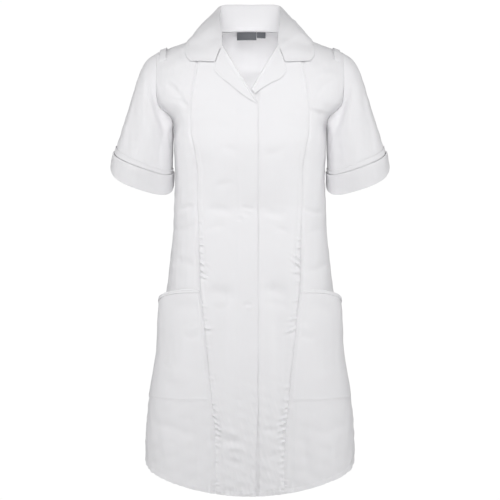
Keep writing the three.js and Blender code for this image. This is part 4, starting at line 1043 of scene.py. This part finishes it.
def cloth_material(name, colour, roughness, sheen, ribs, depth, contrast):
    """A woven finish: base colour, roughness and bump follow the weave and a faint unevenness.

    ribs is how many there are in a metre, depth their height in metres and contrast the share by which
    the colour goes up and down.
    """
    material = bpy.data.materials.new(name)
    material.use_nodes = True
    nodes, links = material.node_tree.nodes, material.node_tree.links
    shader = nodes["Principled BSDF"]
    cut = nodes.new("ShaderNodeUVMap")
    cut.uv_map = "cut"
    weave = nodes.new("ShaderNodeGroup")
    weave.node_tree = bpy.data.node_groups["twill weave"]
    weave.inputs["Ribs per metre"].default_value = ribs
    links.new(cut.outputs["UV"], weave.inputs["Cut"])
    place = nodes.new("ShaderNodeTexCoord")
    cloudy = nodes.new("ShaderNodeTexNoise")
    cloudy.inputs["Scale"].default_value = 14
    cloudy.inputs["Detail"].default_value = 3
    links.new(place.outputs["Object"], cloudy.inputs["Vector"])
    tone = nodes.new("ShaderNodeMix")
    tone.data_type = "RGBA"
    tone.inputs["A"].default_value = (*[c * (1 - contrast) for c in colour], 1)
    tone.inputs["B"].default_value = (*[min(1, c * (1 + contrast)) for c in colour], 1)
    both = nodes.new("ShaderNodeMath")
    both.operation = "MULTIPLY_ADD"
    both.inputs[1].default_value = 0.5
    half = nodes.new("ShaderNodeMath")
    half.operation = "MULTIPLY"
    half.inputs[1].default_value = 0.5
    links.new(weave.outputs["Shade"], half.inputs[0])
    links.new(cloudy.outputs["Fac"], both.inputs[0])
    links.new(half.outputs[0], both.inputs[2])
    links.new(both.outputs[0], tone.inputs["Factor"])
    links.new(tone.outputs["Result"], shader.inputs["Base Color"])
    spread_of = nodes.new("ShaderNodeMapRange")
    spread_of.inputs["To Min"].default_value = roughness - 0.06
    spread_of.inputs["To Max"].default_value = roughness + 0.06
    links.new(weave.outputs["Shade"], spread_of.inputs["Value"])
    links.new(spread_of.outputs["Result"], shader.inputs["Roughness"])
    bump = nodes.new("ShaderNodeBump")
    bump.inputs["Strength"].default_value = 0.5
    bump.inputs["Distance"].default_value = depth
    links.new(weave.outputs["Height"], bump.inputs["Height"])
    links.new(bump.outputs["Normal"], shader.inputs["Normal"])
    shader.inputs["Sheen Weight"].default_value = sheen
    shader.inputs["Sheen Roughness"].default_value = 0.5
    shader.inputs["Specular IOR Level"].default_value = 0.3
    return material


def thread_material(colour):
    """Smooth sewing thread, a little shinier than the cloth."""
    material = bpy.data.materials.new("sewing thread")
    material.use_nodes = True
    nodes, links = material.node_tree.nodes, material.node_tree.links
    shader = nodes["Principled BSDF"]
    place = nodes.new("ShaderNodeTexCoord")
    strands = nodes.new("ShaderNodeTexNoise")
    strands.inputs["Scale"].default_value = 1500
    links.new(place.outputs["Object"], strands.inputs["Vector"])
    tone = nodes.new("ShaderNodeMix")
    tone.data_type = "RGBA"
    tone.inputs["A"].default_value = (*[c * 0.9 for c in colour], 1)
    tone.inputs["B"].default_value = (*colour, 1)
    links.new(strands.outputs["Fac"], tone.inputs["Factor"])
    links.new(tone.outputs["Result"], shader.inputs["Base Color"])
    shader.inputs["Roughness"].default_value = 0.5
    return material


# ------------------------------------------------------------------ what a user can change
class TunicCloth(PropertyGroup):
    """Sizes and finish of the cloth."""
    wall: FloatProperty(name="Cloth", description="Thickness of a single layer with its turnings",
                        default=0.9 * MM, unit="LENGTH", precision=5)
    double_wall: FloatProperty(name="Double cloth", description="Thickness of collar, lapels and cuffs",
                               default=1.6 * MM, unit="LENGTH", precision=5)
    crease: FloatProperty(name="Creases", description="Strength of the creases pressed into the cloth",
                          default=3.2, min=0, max=5)
    pucker: FloatProperty(name="Puckers", description="Strength of the puckers along the long seams",
                          default=2.9, min=0, max=5)
    colour: FloatVectorProperty(name="Colour", description="Colour of the bleached twill", subtype="COLOR",
                                default=(0.838, 0.833, 0.848), min=0, max=1)
    roughness: FloatProperty(name="Roughness", description="How matt the twill is", default=0.82,
                             subtype="FACTOR", min=0.1, max=0.94)
    sheen: FloatProperty(name="Sheen", description="Soft light of the fibre ends at a slant", default=0.08,
                         subtype="FACTOR", min=0, max=1)
    tape_colour: FloatVectorProperty(name="Label", description="Colour of the bare woven label",
                                     subtype="COLOR", default=(0.1, 0.105, 0.115), min=0, max=1)


class TunicSewing(PropertyGroup):
    """Sizes and colour of the topstitching."""
    stitch_length: FloatProperty(name="Stitch", description="Length of one stitch", default=2.5 * MM,
                                 unit="LENGTH", precision=5)
    stitch_gap: FloatProperty(name="Gap", description="Space between two stitches", default=0.8 * MM,
                              unit="LENGTH", precision=5)
    thread_width: FloatProperty(name="Thread", description="Width of the thread", default=0.55 * MM,
                                unit="LENGTH", precision=5)
    colour: FloatVectorProperty(name="Colour", description="Colour of the thread", subtype="COLOR",
                                default=(0.86, 0.86, 0.87), min=0, max=1)


class TunicStage(PropertyGroup):
    """Camera, floor and light."""
    distance: FloatProperty(name="Camera distance", description="From the camera to the middle of the tunic",
                            default=2.8, unit="LENGTH")
    eye_level: FloatProperty(name="Eye level", description="Height of the camera over the neck",
                             default=-0.449, unit="LENGTH")
    lens: FloatProperty(name="Lens", description="Focal length in millimetres", default=98.34)
    key: FloatProperty(name="Key", description="Power of the light high in front, in watts", default=12.3)
    front: FloatProperty(name="Front", description="Power of the light level with the chest, in watts",
                         default=7.3)
    neck: FloatProperty(name="Neck", description="Power of the small light inside the neck, in watts",
                        default=0.09)
    sides: FloatProperty(name="Sides", description="Power of each side light, in watts", default=21)
    rear: FloatProperty(name="Rear", description="Power of the light behind, in watts", default=40)
    ambient: FloatProperty(name="Ambient", description="Strength of the light from all round", default=0.1)


# ------------------------------------------------------------------ one operator for each piece
class TUNIC_OT_finishes(Operator):
    """Makes the weave and the three finishes"""
    bl_idname = "tunic.finishes"
    bl_label = "Finishes"

    def execute(self, context):
        cloth = sizes()
        weave_group()
        cloth_material("white twill", cloth.colour, cloth.roughness, cloth.sheen,
                       ribs=1400, depth=0.00008, contrast=0.012)
        cloth_material("label tape", cloth.tape_colour, roughness=0.5, sheen=0.3,
                       ribs=2200, depth=0.00006, contrast=0.12)
        thread_material(context.scene.tunic_sewing.colour)
        return {"FINISHED"}


class TUNIC_OT_fronts(Operator):
    """Cuts the two centre fronts, the right one over the left"""
    bl_idname = "tunic.fronts"
    bl_label = "Centre fronts"

    def execute(self, context):
        for name, side in SIDES:
            cloth = centre_front(side)
            sew_in(f"front_{name}", cloth, sizes().wall)
            lines = [cloth.thread(cloth.fall_back, HEM_TURN, rows=False, start=0.02, end=0.98)]
            if side == RIGHT:
                lines.append(cloth.thread(cloth.run, FLY_IN, start=0.235, end=0.93))
                lines.append(cloth.thread(cloth.fall_back, FACING_END, rows=False, start=0.05, end=0.45))
            sew_lines(f"stitching_front_{name}", lines)
        return {"FINISHED"}


class TUNIC_OT_side_fronts(Operator):
    """Cuts the two side fronts, from the shoulder and armhole to the hem"""
    bl_idname = "tunic.side_fronts"
    bl_label = "Side fronts"

    def execute(self, context):
        for name, side in SIDES:
            cloth = side_front(side)
            sew_in(f"side_front_{name}", cloth, sizes().wall)
            sew_lines(f"stitching_side_front_{name}", [
                cloth.thread(cloth.fall_back, HEM_TURN, rows=False, start=0.02, end=0.9),
                cloth.thread(cloth.run_back, ARMHOLE_STITCH, end=0.23),
                cloth.thread(cloth.run_back, VENT_STITCH, start=0.85, end=0.95)])
        return {"FINISHED"}


class TUNIC_OT_back(Operator):
    """Cuts the back in one piece"""
    bl_idname = "tunic.back"
    bl_label = "Back"

    def execute(self, context):
        cloth = back_panel()
        sew_in("back", cloth, sizes().wall)
        lines = [cloth.thread(cloth.fall_back, HEM_TURN, rows=False, start=0.05, end=0.95)]
        lines += [cloth.thread(edge, ARMHOLE_STITCH, end=0.23) for edge in (cloth.run, cloth.run_back)]
        lines += [cloth.thread(edge, VENT_STITCH, start=0.85, end=0.95)
                  for edge in (cloth.run, cloth.run_back)]
        sew_lines("stitching_back", lines)
        return {"FINISHED"}


class TUNIC_OT_sleeves(Operator):
    """Sets in the sleeves, with their turned-back cuffs and bands"""
    bl_idname = "tunic.sleeves"
    bl_label = "Sleeves"

    def execute(self, context):
        for name, side in SIDES:
            sew_in(f"sleeve_{name}", sleeve(side), sizes().wall)
            sew_in(f"cuff_{name}", cuff(side), sizes().double_wall)
            sew_in(f"cuff_trim_{name}", cuff_trim(side), sizes().wall)
        return {"FINISHED"}


class TUNIC_OT_collar(Operator):
    """Turns the collar over its stand and the lapels over their roll lines"""
    bl_idname = "tunic.collar"
    bl_label = "Collar and lapels"

    def execute(self, context):
        cloth = collar()
        sew_in("collar", cloth, sizes().double_wall)
        sew_lines("stitching_collar", [
            cloth.thread(cloth.run_back, EDGE_STITCH, start=0.06, end=0.94),
            cloth.thread(cloth.run, STAND_STITCH, start=0.2, end=0.8)])
        for name, side in SIDES:
            cloth = lapel(side)
            sew_in(f"lapel_{name}", cloth, sizes().double_wall)
            sew_lines(f"stitching_lapel_{name}", [
                cloth.thread(cloth.run_back, EDGE_STITCH, start=0.1, end=0.8)])
        return {"FINISHED"}


class TUNIC_OT_pockets(Operator):
    """Lays the patch pockets and the bands of their mouths on the side fronts"""
    bl_idname = "tunic.pockets"
    bl_label = "Pockets"

    def execute(self, context):
        for name, side in SIDES:
            cloth = pocket(side)
            sew_in(f"pocket_{name}", cloth, sizes().wall)
            sew_lines(f"stitching_pocket_{name}", [
                cloth.thread(cloth.fall_back, POCKET_STITCH, rows=False, start=0.02, end=0.98),
                cloth.thread(cloth.run, POCKET_STITCH, start=0.05, end=0.98),
                cloth.thread(cloth.run_back, POCKET_STITCH, start=0.05, end=0.98)])
            sew_in(f"pocket_trim_{name}", pocket_trim(side), sizes().wall)
        return {"FINISHED"}


class TUNIC_OT_loops(Operator):
    """Sews a loop over each shoulder seam"""
    bl_idname = "tunic.loops"
    bl_label = "Shoulder loops"

    def execute(self, context):
        for name, side in SIDES:
            cloth = shoulder_loop(side)
            sew_in(f"shoulder_loop_{name}", cloth, sizes().double_wall)
            lines = [cloth.thread(edge, LOOP_STITCH) for edge in (cloth.run, cloth.run_back)]
            lines += [cloth.thread(end, at, rows=False)
                      for end, at in ((cloth.fall, 3), (cloth.fall, 13), (cloth.fall_back, 3))]
            sew_lines(f"stitching_shoulder_loop_{name}", lines)
        return {"FINISHED"}


class TUNIC_OT_tapes(Operator):
    """Hangs the bare label and size tab in the back neck seam"""
    bl_idname = "tunic.tapes"
    bl_label = "Neck label and size tab"

    def execute(self, context):
        for name in NECK_TAPES:
            sew_in(name, neck_tape(name), TAPE_WALL * MM, finish="label tape",
                   bevel=0.15)
        return {"FINISHED"}


class TUNIC_OT_stage(Operator):
    """Sets the camera, the pale floor, the world and the studio lights"""
    bl_idname = "tunic.stage"
    bl_label = "Stage"

    def execute(self, context):
        stage = context.scene.tunic_stage
        camera = bpy.data.objects.new("camera", bpy.data.cameras.new("camera"))
        camera.data.lens, camera.data.sensor_width = stage.lens, 36
        camera.location = (0, -stage.distance, stage.eye_level)
        camera.rotation_euler = (math.radians(90), 0, 0)
        context.collection.objects.link(camera)
        context.scene.camera = camera

        bm = bmesh.new()
        bmesh.ops.create_circle(bm, cap_ends=True, segments=96, radius=FLOOR_RADIUS)
        bmesh.ops.translate(bm, verts=bm.verts, vec=(0, 0, FLOOR_Z))
        mesh = bpy.data.meshes.new("floor")
        bm.to_mesh(mesh)
        bm.free()
        floor = bpy.data.objects.new("floor", mesh)
        context.collection.objects.link(floor)
        paint = bpy.data.materials.new("pale floor")
        paint.use_nodes = True
        shader = paint.node_tree.nodes["Principled BSDF"]
        shader.inputs["Base Color"].default_value = (0.9, 0.9, 0.9, 1)
        shader.inputs["Roughness"].default_value = 0.9
        mesh.materials.append(paint)

        for name, place, aim, size, power in (
                ("key", (0, -1.4, 0.75), (0, 0, -0.3), 0.9, stage.key),
                ("front", (0, -1.35, -0.25), (0, 0, -0.3), 1.0, stage.front),
                ("neck", (0, -0.045, -0.08), (0, 0.06, -0.1), 0.05, stage.neck),
                ("right side", (-2.4, -0.4, 0), (0, 0, -0.3), 1.5, stage.sides),
                ("left side", (2.4, -0.4, 0), (0, 0, -0.3), 1.5, stage.sides),
                ("rear", (0, 2.9, 0.9), (0, 0, -0.4), 1.8, stage.rear)):
            lamp = bpy.data.lights.new(name, "AREA")
            lamp.shape, lamp.size, lamp.energy = "DISK", size, power
            light = bpy.data.objects.new(name, lamp)
            light.location = place
            light.rotation_euler = (Vector(aim) - Vector(place)).to_track_quat("-Z", "Y").to_euler()
            light.visible_camera = False
            context.collection.objects.link(light)

        world = bpy.data.worlds.new("white studio")
        world.use_nodes = True
        nodes, links = world.node_tree.nodes, world.node_tree.links
        lit = nodes["Background"]
        lit.inputs["Color"].default_value = (0.98, 0.985, 1, 1)
        lit.inputs["Strength"].default_value = stage.ambient
        seen = nodes.new("ShaderNodeBackground")
        seen.inputs["Color"].default_value = (1, 1, 1, 1)
        seen.inputs["Strength"].default_value = 1.02
        path, both = nodes.new("ShaderNodeLightPath"), nodes.new("ShaderNodeMixShader")
        links.new(path.outputs["Is Camera Ray"], both.inputs["Fac"])
        links.new(lit.outputs[0], both.inputs[1])
        links.new(seen.outputs[0], both.inputs[2])
        links.new(both.outputs[0], nodes["World Output"].inputs["Surface"])
        context.scene.world = world
        context.scene.view_settings.view_transform = "Standard"
        context.scene.view_settings.look = "None"
        return {"FINISHED"}


OPERATORS = (TUNIC_OT_finishes, TUNIC_OT_fronts, TUNIC_OT_side_fronts, TUNIC_OT_back, TUNIC_OT_sleeves,
             TUNIC_OT_collar, TUNIC_OT_pockets, TUNIC_OT_loops, TUNIC_OT_tapes, TUNIC_OT_stage)


class TUNIC_PT_panel(Panel):
    """Lists the tunic's pieces and what can be changed"""
    bl_idname = "TUNIC_PT_panel"
    bl_label = "Medical tunic"
    bl_space_type = "VIEW_3D"
    bl_region_type = "UI"
    bl_category = "Tunic"

    def draw(self, context):
        for group in (context.scene.tunic_cloth, context.scene.tunic_sewing, context.scene.tunic_stage):
            box = self.layout.box()
            for name in group.__annotations__:
                box.prop(group, name)
        for operator in OPERATORS:
            self.layout.operator(operator.bl_idname)


GROUPS = (("tunic_cloth", TunicCloth), ("tunic_sewing", TunicSewing), ("tunic_stage", TunicStage))


def register():
    for name, group in GROUPS:
        bpy.utils.register_class(group)
        setattr(bpy.types.Scene, name, PointerProperty(type=group))
    for operator in OPERATORS:
        bpy.utils.register_class(operator)
    bpy.utils.register_class(TUNIC_PT_panel)


def unregister():
    bpy.utils.unregister_class(TUNIC_PT_panel)
    for operator in reversed(OPERATORS):
        bpy.utils.unregister_class(operator)
    for name, group in reversed(GROUPS):
        delattr(bpy.types.Scene, name)
        bpy.utils.unregister_class(group)


def main():
    register()
    for operator in OPERATORS:
        group, name = operator.bl_idname.split(".")
        getattr(getattr(bpy.ops, group), name)()


if __name__ == "__main__":
    main()
